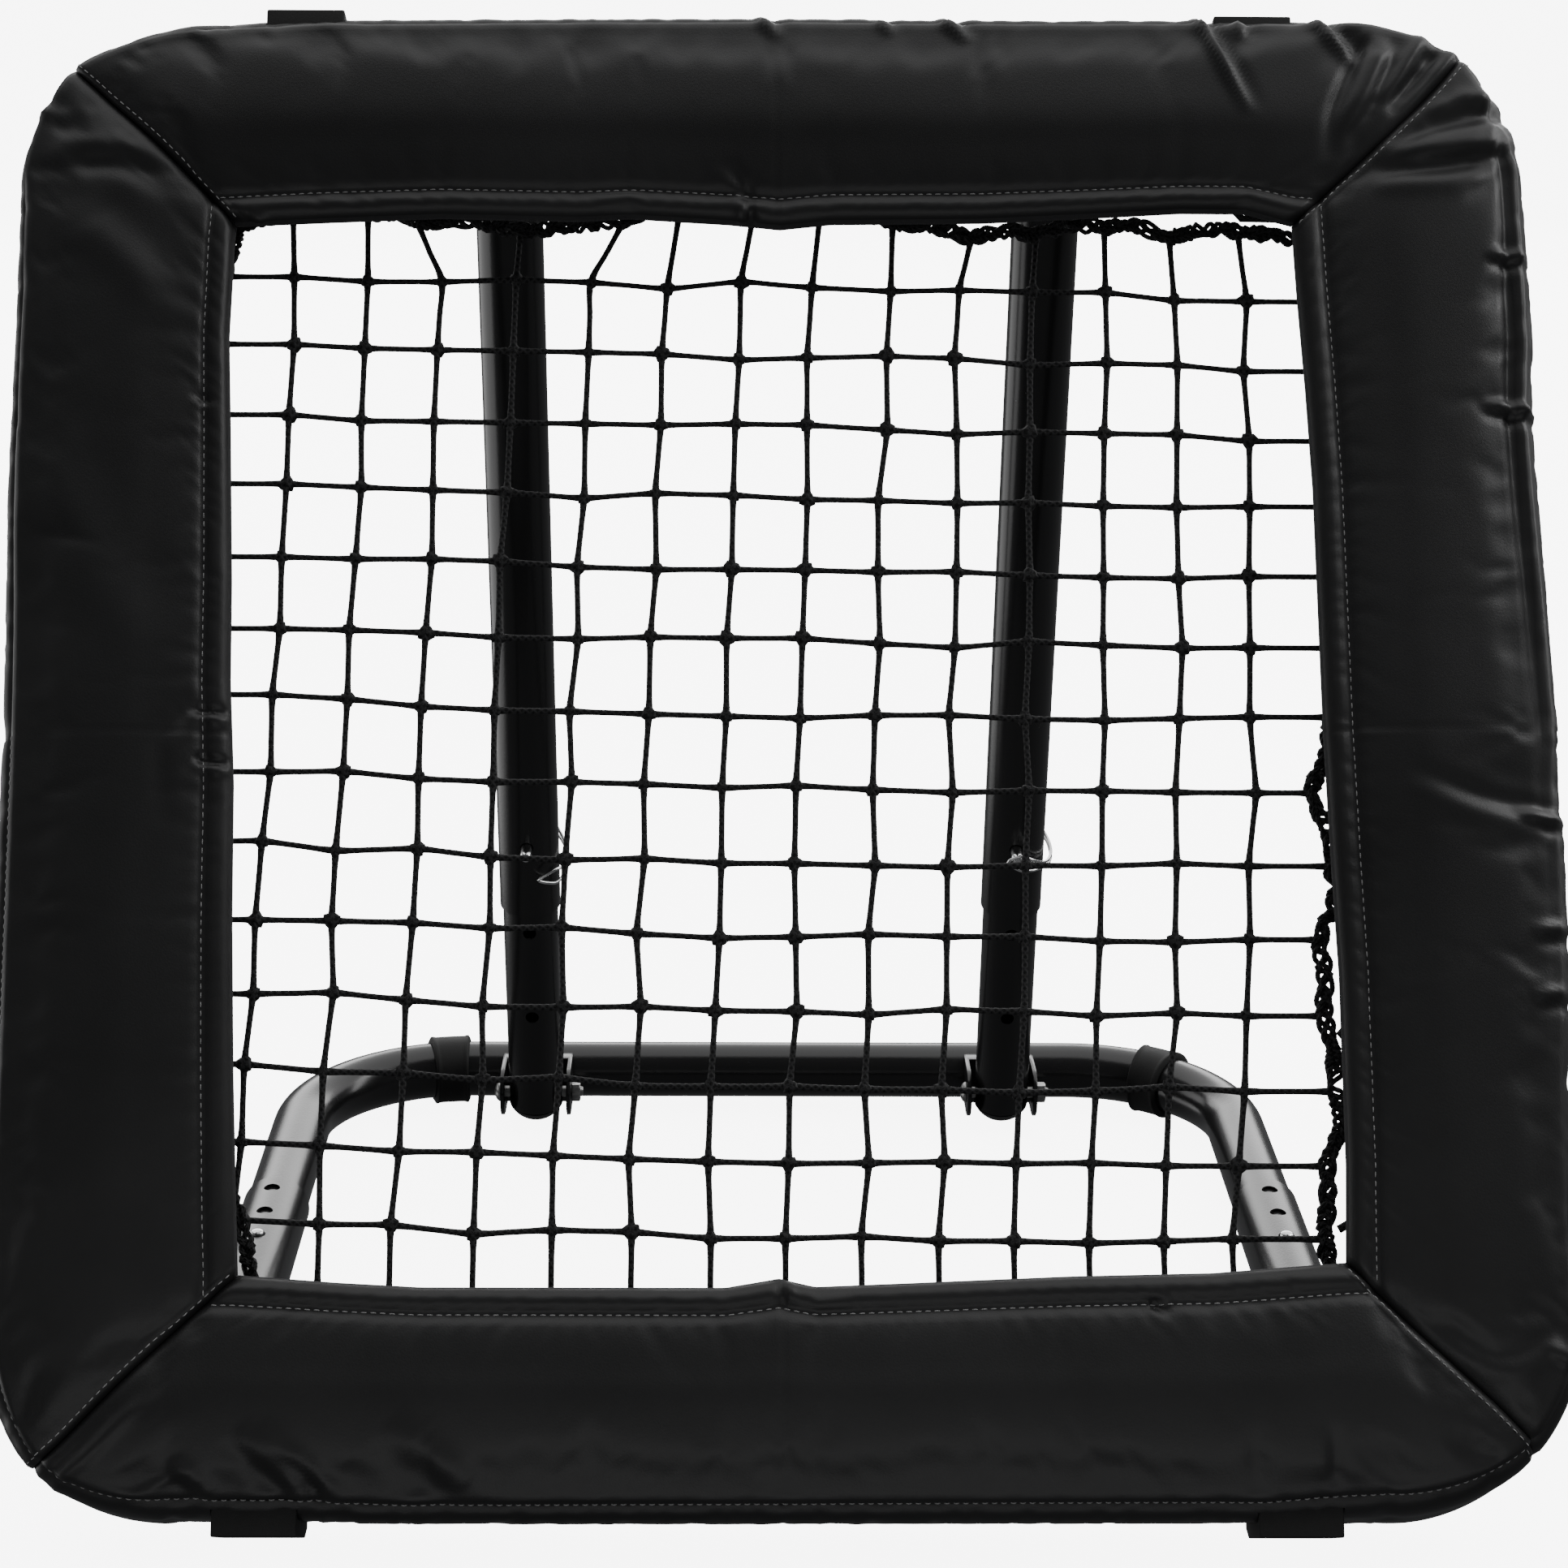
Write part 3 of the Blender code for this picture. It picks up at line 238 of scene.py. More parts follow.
webLook = {"dark": (0.006, 0.006, 0.0065), "light": (0.034, 0.034, 0.036), "thread": 0.0016}


def makeWeb():
    # hook-and-loop strap: fuzzy loops in fine ribs across the band
    made, at, uv = newFinish("loopStrap")
    ribs = uv.turns("X", webLook["thread"]).sine() * uv.turns("Y", webLook["thread"]).sine()
    fuzz = at.noise(1100.0, 4.0, 0.7)
    # the colour is a random fuzz of tone, partly painted shade: darker between the ribs and lighter
    # on them
    colour = (fuzz * 0.7 + ribs * 0.2).colours(webLook["dark"], webLook["light"])
    return closeFinish(made, colour, 0.8 + fuzz * 0.15, ribs * 0.00015 + fuzz * 0.0004,
                       **{"Sheen Weight": 0.2})


metalLook = {
    "zincPlate": {"dark": (0.20, 0.20, 0.20), "light": (0.38, 0.38, 0.37), "rough": 0.26,
                  "roughSpread": 0.14, "scratch": 0.00002},
    "chromePlate": {"dark": (0.70, 0.70, 0.70), "light": (0.86, 0.86, 0.86), "rough": 0.08,
                    "roughSpread": 0.08, "scratch": 0.00001},
}


def makeMetal(name):
    # plated steel: cloudy plating and hairlines that run every way
    look = metalLook[name]
    made, at, _ = newFinish(name)
    cloud = at.noise(260.0, 3.0)
    hair = at.stretched(1.0, 7.0, 1.0).noise(340.0, 4.0, 0.7, 2.0)
    return closeFinish(made, cloud.rise(0.25, 0.75).colours(look["dark"], look["light"]),
                       look["rough"] + cloud * look["roughSpread"] + hair * 0.08,
                       hair * look["scratch"], Metallic=1.0)


plasticLook = {"dark": (0.010, 0.010, 0.010), "light": (0.018, 0.018, 0.018), "rough": 0.40}


def makePlastic():
    # a moulded cap: satin black with a very fine spark-eroded grain
    made, at, _ = newFinish("mouldedCap")
    cloud = at.noise(60.0, 3.0)
    return closeFinish(made, cloud.colours(plasticLook["dark"], plasticLook["light"]),
                       plasticLook["rough"] + cloud * 0.12, at.noise(1300.0, 2.0) * 0.00004)


threadLook = {"dark": (0.22, 0.22, 0.22), "light": (0.50, 0.50, 0.50), "twist": 0.0008}


def makeThread():
    # grey sewing thread, twisted
    made, at, uv = newFinish("greyThread")
    twist = (uv.turns("Y", threadLook["twist"]) + uv.turns("X", 1.0)).sine() * 0.5 + 0.5
    # painted shade: the thread's colour is darker in the grooves between plies and lighter on their
    # crowns
    return closeFinish(made, twist.colours(threadLook["dark"], threadLook["light"]),
                       twist * 0.1 + 0.6, twist * 0.0001)


paint = makePaint()
vinyl = makeVinyl()
lining = makeLining()
rubber = makeRubber()
netCord = makeCord("netCord", cordLook["pitch"], cordLook["strands"], 0.0004)
bungeeCord = makeCord("bungeeSheath", 0.0034, 6.0, 0.00025)
loopStrap = makeWeb()
zinc = makeMetal("zincPlate")
chrome = makeMetal("chromePlate")
plastic = makePlastic()
thread = makeThread()
print("rebounder net: finishes made")


# shapes
def onFrame(across, up, out):
    # a point of the net frame: up runs along the leaning frame, out comes from its face
    sine, cosine = math.sin(stand["lean"]), math.cos(stand["lean"])
    y = stand["frameMiddle"][0] + up * sine - out * cosine
    z = stand["frameMiddle"][1] + up * cosine + out * sine
    return np.stack(np.broadcast_arrays(across, y, z), -1).astype(float)


def sideTurned(side, along, outward):
    # across and up of a place given along a side and outward from the frame's middle
    return {"top": (along, outward), "right": (outward, -along),
            "bottom": (-along, -outward), "left": (-outward, along)}[side]


def onSide(side, along, outward, out):
    # one of the frame's four sides: along it, away from the middle, and out of its face
    return onFrame(*sideTurned(side, along, outward), out)


def onStrut(sign, x, y, z):
    # a point of a strut: x across, y behind its middle line, z up from its lower bolt
    sine, cosine = math.sin(stand["strutLean"]), math.cos(stand["strutLean"])
    footY, footZ = stand["strutFoot"]
    return np.stack(np.broadcast_arrays(x + sign * stand["strutX"], footY + y * cosine - z * sine,
                                        footZ + y * sine + z * cosine), -1).astype(float)


upward = np.array([0.0, 0.0, 1.0])
sideways = np.array([1.0, 0.0, 0.0])
outOfFace = onFrame(0.0, 0.0, 1.0) - onFrame(0.0, 0.0, 0.0)


def unit(ways):
    # the same directions, each of length one
    return ways / np.linalg.norm(ways, axis=-1, keepdims=True)


def bell(x, middle, width):
    # 1 at the middle, falling away on both sides: e^-((x - middle) / width)^2
    return np.exp(-((x - middle) / width) ** 2)


def fade(x, start, reach):
    # 0 up to the start, 1 beyond its reach, straight between; a reach below 0 runs the other way
    return np.clip((x - start) / reach, 0.0, 1.0)


def readTable(table, at):
    # a table's second number at a place between its first numbers
    return np.interp(at, *np.array(table).T)


def lengths(path):
    # distance run along a path, at each of its points
    return np.concatenate([[0.0], np.cumsum(np.linalg.norm(np.diff(path, axis=0), axis=1))])


def readAt(at, run, path):
    # the path's points at given distances, straight between its own
    return np.stack([np.interp(at, run, path[:, k]) for k in range(path.shape[1])], -1)


def smoothWay(controls, perStretch, closed=False):
    # Catmull-Rom: from b to c, with neighbours a and d, half of
    # 2b + (c - a)t + (2a - 5b + 4c - d)t^2 + (3b - a - 3c + d)t^3
    p = np.asarray(controls, float)
    if closed:
        a, b, c, d = np.roll(p, 1, 0), p, np.roll(p, -1, 0), np.roll(p, -2, 0)
    else:
        wide = np.vstack([2 * p[0] - p[1], p, 2 * p[-1] - p[-2]])
        a, b, c, d = wide[:-3], wide[1:-2], wide[2:-1], wide[3:]
    a, b, c, d = (k[:, None, :] for k in (a, b, c, d))
    t = np.linspace(0.0, 1.0, perStretch, endpoint=False)[None, :, None]
    way = 0.5 * (2 * b + (c - a) * t + (2 * a - 5 * b + 4 * c - d) * t ** 2
                 + (3 * b - a - 3 * c + d) * t ** 3)
    way = way.reshape(-1, p.shape[1])
    return way if closed else np.vstack([way, p[-1]])


def evenWay(path, step):
    # the same path with its points an even distance apart
    run = lengths(path)
    count = max(int(round(run[-1] / step)), 2)
    return readAt(np.linspace(0.0, run[-1], count + 1), run, path)


def skinOver(points, wrapRows=False, wrapColumns=False, across=None, along=None):
    # a skin on a grid of points: the face at (r, c) joins (r, c), (r, c+1), (r+1, c+1), (r+1, c);
    # across and along give the map's u by column and v by row, one more where the grid wraps
    rows, columns = points.shape[:2]
    if across is None:
        across = np.linspace(0.0, 1.0, columns + 1)
    if along is None:
        along = np.concatenate([[0.0], np.cumsum(np.linalg.norm(
            np.diff(points, axis=0), axis=2).mean(1)), [0.0]])
        along[-1] = along[-2]
    r, c = np.meshgrid(np.arange(rows - (not wrapRows)), np.arange(columns - (not wrapColumns)),
                       indexing="ij")
    cornerRow = np.stack([r, r, r + 1, r + 1], -1).reshape(-1, 4)
    cornerColumn = np.stack([c, c + 1, c + 1, c], -1).reshape(-1, 4)
    faces = (cornerRow % rows) * columns + cornerColumn % columns
    uv = np.stack([across[cornerColumn], along[cornerRow]], -1)
    return points.reshape(-1, 3), faces, uv


def manySkins(points):
    # the same skin many times: points holds one grid for each, closed round its columns
    count, rows, columns = points.shape[:3]
    _, faces, uv = skinOver(points[0], False, True)
    shift = (np.arange(count) * rows * columns)[:, None, None]
    return (points.reshape(-1, 3), (faces[None] + shift).reshape(-1, 4),
            np.broadcast_to(uv, (count, *uv.shape)).reshape(-1, 4, 2))


def buildPiece(name, skins, finish, weld=0.000002, sharp=38.0):
    # one mesh of several skins; corners that fall together are merged, which closes the poles
    starts = np.cumsum([0] + [len(skin[0]) for skin in skins[:-1]])
    verts = np.concatenate([skin[0] for skin in skins]).astype(np.float32)
    faces = np.concatenate([skin[1] + start for skin, start in zip(skins, starts)])
    uv = np.concatenate([skin[2].reshape(-1, 2) for skin in skins]).astype(np.float32)
    mesh = bpy.data.meshes.new(name)
    mesh.vertices.add(len(verts))
    mesh.vertices.foreach_set("co", verts.ravel())
    mesh.loops.add(faces.size)
    mesh.loops.foreach_set("vertex_index", faces.astype(np.int32).ravel())
    mesh.polygons.add(len(faces))
    mesh.polygons.foreach_set("loop_start", np.arange(0, faces.size, 4, dtype=np.int32))
    mesh.uv_layers.new(name="laid").data.foreach_set("uv", uv.ravel())
    mesh.update(calc_edges=True)
    shape = bmesh.new()
    shape.from_mesh(mesh)
    if weld:
        bmesh.ops.remove_doubles(shape, verts=shape.verts, dist=weld)
    bmesh.ops.recalc_face_normals(shape, faces=shape.faces)
    shape.to_mesh(mesh)
    shape.free()
    mesh.materials.append(finish)
    piece = newObject(name, mesh)
    shade(piece, sharp)
    return piece


def newObject(name, data):
    # an object in the scene for a mesh, a lamp or a camera
    made = bpy.data.objects.new(name, data)
    bpy.context.scene.collection.objects.link(made)
    return made


def shade(piece, sharp):
    # smooth, but for edges that turn by more than an angle in degrees
    piece.data.shade_smooth()
    piece.data.set_sharp_from_angle(angle=math.radians(sharp))


def addPiece(name, skins, finish, body, slot, *nodes, **options):
    # a piece that is done as soon as it is built
    settle(buildPiece(name, skins, finish, **options), body, slot, *nodes)


def settle(piece, body, slot, *nodes):
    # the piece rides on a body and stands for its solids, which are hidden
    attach(piece, body)
    if nodes:
        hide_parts(*nodes)


def sectionAxes(path, hint, closed=False):
    # two directions square to the path at each point: hint x tangent, and tangent x that
    if closed:
        tangent = np.roll(path, -1, 0) - np.roll(path, 1, 0)
    else:
        tangent = np.gradient(path, axis=0)
    tangent /= np.linalg.norm(tangent, axis=1)[:, None]
    first = np.cross(np.broadcast_to(hint, path.shape), tangent)
    first /= np.linalg.norm(first, axis=1)[:, None]
    return first, np.cross(tangent, first)


def ringsRound(path, size, count, axes):
    # rings round a path: path + size (cos angle first axis + sin angle second axis)
    angle = np.arange(count)[:, None] * 2.0 * math.pi / count
    ways = np.cos(angle) * axes[0][..., None, :] + np.sin(angle) * axes[1][..., None, :]
    return path[..., None, :] + size * ways


def roundBar(path, radius, count, hint, closed=False):
    # a solid round bar along a path: its ends are poles, or it meets itself
    path = np.asarray(path, float)
    size = np.broadcast_to(radius, (len(path),))[:, None, None]
    rings = ringsRound(path, size, count, sectionAxes(path, hint, closed))
    run = lengths(path)
    if closed:
        whole = run[-1] + np.linalg.norm(path[0] - path[-1])
        return skinOver(rings, True, True, None, np.append(run, whole))
    caps = [np.repeat(end[None, None, :], count, 1) for end in (path[0], path[-1])]
    return skinOver(np.concatenate([caps[0], rings, caps[1]]), False, True, None,
                    np.concatenate([run[:1], run, run[-1:]]))


def tubeWall(path, radius, wall, count, hint, edge=0.0004):
    # a hollow tube: rings down the outside, round each end's small chamfer and back inside
    path = np.asarray(path, float)
    near = [edge * end / np.linalg.norm(end) for end in (path[1] - path[0], path[-2] - path[-1])]
    out = np.vstack([path[0], path[0] + near[0], path[1:-1], path[-1] + near[1], path[-1]])
    axes = [np.vstack([axis, axis[::-1]]) for axis in sectionAxes(out, hint)]
    outside, inside = np.full(len(out), radius), np.full(len(out), radius - wall)
    outside[[0, -1]] -= edge
    inside[[0, -1]] += edge
    size = np.concatenate([outside, inside])[:, None, None]
    return skinOver(ringsRound(np.vstack([out, out[::-1]]), size, count, axes), True, True)


def turnedShape(profile, count, place, ring=False):
    # a profile of (radius, height) turned about an axis; place maps x, y, height to the object.
    # A ring's profile runs round and meets itself, any other begins and ends on the axis
    profile = np.asarray(profile, float)
    angle = np.arange(count) * 2.0 * math.pi / count
    radius, height = profile[:, 0][:, None], profile[:, 1][:, None]
    points = place(radius * np.cos(angle), radius * np.sin(angle), height + 0.0 * angle)
    return skinOver(points, ring, True)


def rounded(corners, radius, steps=4):
    # a profile whose inner corners are cut by quarter waves: each corner b is replaced by
    # points between its two neighbours, (1-t)^2 p + 2t(1-t) b + t^2 q
    p = np.asarray(corners, float)
    made = [p[:1]]
    t = np.linspace(0.0, 1.0, steps)[:, None]
    for before, here, after in zip(p, p[1:], p[2:]):
        back, on = before - here, after - here
        reach = min(radius, np.linalg.norm(back) * 0.45, np.linalg.norm(on) * 0.45)
        start = here + back / np.linalg.norm(back) * reach
        stop = here + on / np.linalg.norm(on) * reach
        made.append((1 - t) ** 2 * start + 2 * t * (1 - t) * here + t ** 2 * stop)
    made.append(p[-1:])
    return np.concatenate(made)


def alongX(x, y, z):
    # an axis along x through a point
    return lambda a, b, height: np.stack(np.broadcast_arrays(x + height, y + a, z + b), -1)


def boxSkin(place, *spans):
    # a box between three pairs of numbers; place maps them to points
    faces = np.array([[0, 1, 3, 2], [4, 6, 7, 5], [0, 4, 5, 1], [2, 3, 7, 6], [0, 2, 6, 4],
                      [1, 5, 7, 3]])
    corners = place(*np.meshgrid(*spans, indexing="ij")).reshape(8, 3)
    return corners, faces, np.zeros((6, 4, 2))


def cutAway(piece, cutters, sharp=38.0):
    # take closed shapes, each of one or more skins, out of a piece, and leave only its mesh
    for skins in cutters:
        cutter = buildPiece("cutter", skins, paint)
        boolean = piece.modifiers.new("cut", "BOOLEAN")
        boolean.object = cutter
        boolean.solver = "EXACT"
        bakeModifiers(piece)
        bpy.data.objects.remove(cutter)
    shade(piece, sharp)


def bakeModifiers(piece):
    # the piece's mesh becomes what its modifiers make of it
    old = piece.data
    ready = piece.evaluated_get(bpy.context.evaluated_depsgraph_get())
    piece.data = bpy.data.meshes.new_from_object(ready)
    piece.modifiers.clear()
    bpy.data.meshes.remove(old)


def drill(start, end, radius, count=24):
    # a closed bar between two points, whose flats lie at the radius, to cut a hole with
    start, end = np.asarray(start, float), np.asarray(end, float)
    level = abs(end[2] - start[2]) < 0.9 * np.linalg.norm(end - start)
    return [roundBar(np.linspace(start, end, 2), radius / math.cos(math.pi / count), count,
                     upward if level else sideways)]


def settleEased(node, name, finish, ride, width, segments=2):
    # a copy of a solid whose edges are rounded: its triangles are merged, flat ones joined
    shape = bmesh.new()
    shape.from_mesh(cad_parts[node].data)
    bmesh.ops.remove_doubles(shape, verts=shape.verts, dist=0.000005)
    bmesh.ops.dissolve_limit(shape, angle_limit=math.radians(1.0), verts=shape.verts,
                             edges=shape.edges)
    mesh = bpy.data.meshes.new(name)
    shape.to_mesh(mesh)
    shape.free()
    mesh.materials.clear()
    mesh.materials.append(finish)
    piece = newObject(name, mesh)
    bevel = piece.modifiers.new("ease", "BEVEL")
    bevel.width = width
    bevel.segments = segments
    bevel.limit_method = "ANGLE"
    bevel.angle_limit = math.radians(40.0)
    bakeModifiers(piece)
    shade(piece, 32.0)
    settle(piece, *ride, node)


# base
baseParts = {"rearRadius": 0.020, "rearWall": 0.0012, "bend": 0.112, "bendSteps": 28,
             "insert": 0.040, "legRadius": 0.022, "legWall": 0.0015, "legFront": 0.0283,
             "legLength": 0.3465, "holeRadius": 0.0053, "holeApart": 0.0365, "besideHole": 0.009,
             "buttonY": -0.010716, "buttonHole": 0.005, "round": 72}
# pressed plates, each a solid with eased edges: its name here, its body and its edges' radius
plates = {"leg_fork_": ("legFork_", "base", 0.0008), "hinge_lug_": ("hingeLug_", "frame", 0.0008),
          "strut_bracket_lower_": ("lowerBracket_", "base", 0.0006),
          "strut_bracket_upper_": ("upperBracket_", "frame", 0.0006)}


def addPlate(node, side):
    name, body, edge = plates[node]
    settleEased(node + side, name + side, paint, (body, "black_paint"), edge)


def bendPoint(sign, angle):
    # the middle line of the rear tube's bend, by the angle turned
    reach = stand["legX"] - baseParts["bend"]
    return np.stack(np.broadcast_arrays(sign * (reach + baseParts["bend"] * np.sin(angle)),
                                        stand["rearY"] - baseParts["bend"] * (1 - np.cos(angle)),
                                        stand["baseZ"]), -1)


def drillUp(x, y, radius):
    # a cutter from a level tube's middle line up through its wall
    z = stand["baseZ"]
    return drill((x, y, z), (x, y, z + baseParts["legRadius"] + 0.01), radius)


def addTube(name, path, size, drills, body, node, hint):
    # a painted tube: size is its outer radius, wall and points round
    tube = buildPiece(name, [tubeWall(path, *size, hint)], paint)
    cutAway(tube, drills)
    settle(tube, body, "black_paint", node)


def makeBase():
    base, legX, z = baseParts, stand["legX"], stand["baseZ"]
    turn = np.linspace(0.0, math.pi / 2, base["bendSteps"] + 1)
    button = base["buttonY"]
    armStops = [button - base["insert"], button - 0.012, button + 0.012, 0.09, 0.15]
    arm = [(legX, y, z) for y in armStops]
    right = np.vstack([bendPoint(1.0, turn), np.array(arm)[::-1]])
    straight = np.array([(x, stand["rearY"], z) for x in (-0.15, -0.05, 0.05, 0.15)])
    left = (right * [-1, 1, 1])[::-1]
    addTube("rearTube", np.vstack([left, straight, right]),
            (base["rearRadius"], base["rearWall"], base["round"]),
            [drillUp(sign * legX, button, base["buttonHole"]) for sign in sides.values()],
            "base", "rear_base_tube", upward)
    for side, sign in sides.items():
        makeLeg(side, sign)
        makeButton(side, sign)
        makeRearFoot(side, sign)
        for node in ("leg_fork_", "hinge_lug_", "strut_bracket_lower_"):
            addPlate(node, side)


def makeLeg(side, sign):
    base, x = baseParts, sign * stand["legX"]
    front, back = (stand["hinge"][0] + base[end] for end in ("legFront", "legLength"))
    holes = [base["buttonY"] + k * base["holeApart"] for k in range(3)]
    stops = [front, front + 0.08, front + 0.16]
    stops += [y + beside for y in holes for beside in (-base["besideHole"], base["besideHole"])]
    stops.append(back)
    addTube("frontLeg_" + side, [(x, y, stand["baseZ"]) for y in stops],
            (base["legRadius"], base["legWall"], base["round"]),
            [drillUp(x, y, base["holeRadius"]) for y in holes], "base", "front_leg_" + side, upward)


buttonParts = {"radius": 0.0045, "dome": 0.0024, "top": 0.0248, "under": 0.0168,
               "flange": 0.0075, "flangeTall": 0.0015}


def makeButton(side, sign):
    # a round-topped pin with a flange inside the tube
    button = buttonParts
    profile = [(button["radius"] * math.sin(t), button["top"] - button["dome"] * (1 - math.cos(t)))
               for t in np.linspace(0.0, math.pi / 2, 9)]
    profile += [(button["radius"], button["under"]), (button["flange"], button["under"]),
                (button["flange"], button["under"] - button["flangeTall"]),
                 (0.0, button["under"] - button["flangeTall"])]
    x, y, z = sign * stand["legX"], baseParts["buttonY"], stand["baseZ"]
    skin = turnedShape(profile, 32, lambda a, b, h: np.stack((x + a, y + b, z + h), -1))
    addPiece("springButton_" + side, [skin], chrome, "button_" + side, "chrome",
             "leg_button_" + side)


ringFoot = {"angle": {"left": 8.0, "right": 36.0}, "half": 0.125, "thick": 0.0041, "lip": 0.0007,
            "lipAt": 0.86, "lipWide": 0.09, "ease": 0.0018, "easeFrom": 0.93, "slip": 0.00025,
            "rows": 25, "round": 72}


def makeRearFoot(side, sign):
    # a rubber ring round the bend: its section swells at both rims and its sole is cut flat,
    # so the radius at an angle is the smaller of the ring's and height / cos from straight down
    share = np.linspace(-1.0, 1.0, ringFoot["rows"])
    path = bendPoint(sign, math.radians(ringFoot["angle"][side]) + share * ringFoot["half"])
    ways = ringsRound(np.zeros(path.shape), 1.0, ringFoot["round"], sectionAxes(path, upward))
    across = np.abs(share)
    bead = ringFoot["lip"] * bell(across, ringFoot["lipAt"], ringFoot["lipWide"])
    easing = ringFoot["ease"] * fade(across, ringFoot["easeFrom"], 1.0 - ringFoot["easeFrom"]) ** 2
    outer = baseParts["rearRadius"] + ringFoot["thick"] + bead - easing
    down = np.maximum(-ways[:, :, 2], 0.05)
    outer = np.minimum(outer[:, None], stand["baseZ"] / down)
    shell = path[:, None, :] + outer[:, :, None] * ways
    core = path[:, None, :] + (baseParts["rearRadius"] + ringFoot["slip"]) * ways
    skin = skinOver(np.concatenate([shell, core[::-1]]), True, True)
    addPiece("ringFoot_" + side, [skin], rubber, "base", "rubber", "rear_foot_" + side)


makeBase()
print("rebounder net: base made")


# bolts and nuts
boltParts = {"shank": 0.004, "head": 0.0075, "headTall": 0.0045, "nut": 0.0074, "nutTall": 0.0065,
             "gap": 0.0003, "proud": 0.002, "pitch": 0.00125, "threadDeep": 0.00022,
             "hingeHalf": 0.0165, "footHalf": 0.0252, "topHalf": 0.0246,
             "topUp": 0.380, "topOut": -0.056}


def makeBolt(stem, name, side, body, xHead, xNut, y, z):
    # a domed head, a shank and a short thread whose radius is a wave of the height
    way = math.copysign(1.0, xNut - xHead)
    bolt = boltParts
    length = abs(xNut - xHead) + 2 * bolt["gap"] + bolt["nutTall"] + bolt["proud"]
    dome = [(bolt["head"] * math.sin(t), bolt["headTall"] * math.cos(t))
            for t in np.linspace(0.0, math.radians(78.0), 9)]
    under = [(bolt["head"], 0.0003), (bolt["head"] - 0.0003, 0.0), (bolt["shank"], 0.0)]
    threadFrom = -(length - bolt["nutTall"] - bolt["proud"] + 0.001)
    deep, pitch = bolt["threadDeep"], bolt["pitch"]
    turns = [(bolt["shank"] - deep * (1.0 - math.cos(2 * math.pi * h / pitch)), h)
             for h in np.linspace(threadFrom, -length + 0.0012, 25)]
    profile = dome + under + [(bolt["shank"], threadFrom + 0.0004)] + turns \
        + [(bolt["shank"] - 0.0010, -length), (0.0, -length)]
    place = alongX(xHead - way * bolt["gap"], y, z)
    skin = turnedShape(np.array(profile) * [1.0, -way], 28, place)
    addPiece(name + "Bolt_" + side, [skin], zinc, body, "zinc", stem + "_bolt_" + side)
    # the nut's radius: hexagon at that angle, held inside a cone at each face
    angle = np.arange(48) * 2.0 * math.pi / 48
    flat = bolt["nut"] * math.cos(math.pi / 6)
    hexagon = flat / np.cos((angle % (math.pi / 3)) - math.pi / 6)
    tall = bolt["nutTall"]
    height = np.array([0.0, 0.0, 0.0007, tall - 0.0007, tall, tall])
    cone = np.array([bolt["shank"] + 0.0003, flat * 0.98, bolt["nut"] + 0.001])
    radius = np.minimum(hexagon[None, :], np.append(cone, cone[::-1])[:, None])
    points = np.stack([xNut + way * bolt["gap"] + way * height[:, None] + 0.0 * angle,
                       y + radius * np.cos(angle), z + radius * np.sin(angle)], -1)
    addPiece(name + "Nut_" + side, [skinOver(points, True, True)], zinc, body, "zinc",
             stem + "_nut_" + side, sharp=25.0)


def makeBolts():
    bolt = boltParts
    topY, topZ = onFrame(0.0, bolt["topUp"], bolt["topOut"])[1:]
    for side, sign in sides.items():
        x, legX = sign * stand["strutX"], stand["legX"]
        makeBolt("hinge", "hinge", side, "base", sign * (legX + bolt["hingeHalf"]),
                 sign * (legX - bolt["hingeHalf"]), *stand["hinge"])
        makeBolt("strut_foot", "strutFoot", side, "base",
                 x - bolt["footHalf"], x + bolt["footHalf"], *stand["strutFoot"])
        makeBolt("strut_top", "strutTop", side, "frame", x - bolt["topHalf"], x + bolt["topHalf"],
                 topY, topZ)
        addPlate("strut_bracket_upper_", side)


makeBolts()
print("rebounder net: bolts and brackets made")


# struts
strutParts = {"upperRadius": 0.021, "upperWall": 0.0012, "lowerRadius": 0.0192,
              "lowerWall": 0.0012, "lowerEnd": 0.008, "upperEnd": 0.022, "holes": (0.076, 0.146),
              "holeRadius": 0.0045, "slotTop": 0.416, "upperFrom": 0.160, "openPivot": 0.0078,
              "boltHole": 0.0043, "drillReach": 0.03, "round": 72}


def strutPath(sign, stops):
    return np.array([onStrut(sign, 0.0, 0.0, stop) for stop in stops])


def drillStrut(sign, z, radius, axis="y"):
    # a cutter through a strut at a height, front to back or across
    far = strutParts["drillReach"]
    ends = (((0.0, -far), (0.0, far)) if axis == "y" else ((-far, 0.0), (far, 0.0)))
    return drill(*(onStrut(sign, *end, z) for end in ends), radius)


def slotCutter(sign):
    # a box for the slot above the pin's hole in a lower tube
    half, far = strutParts["holeRadius"], strutParts["drillReach"]
    return [boxSkin(lambda x, y, z: onStrut(sign, x, y, z), (-half, half), (-far, far),
                    (stand["pinAt"], strutParts["slotTop"] + 0.02))]


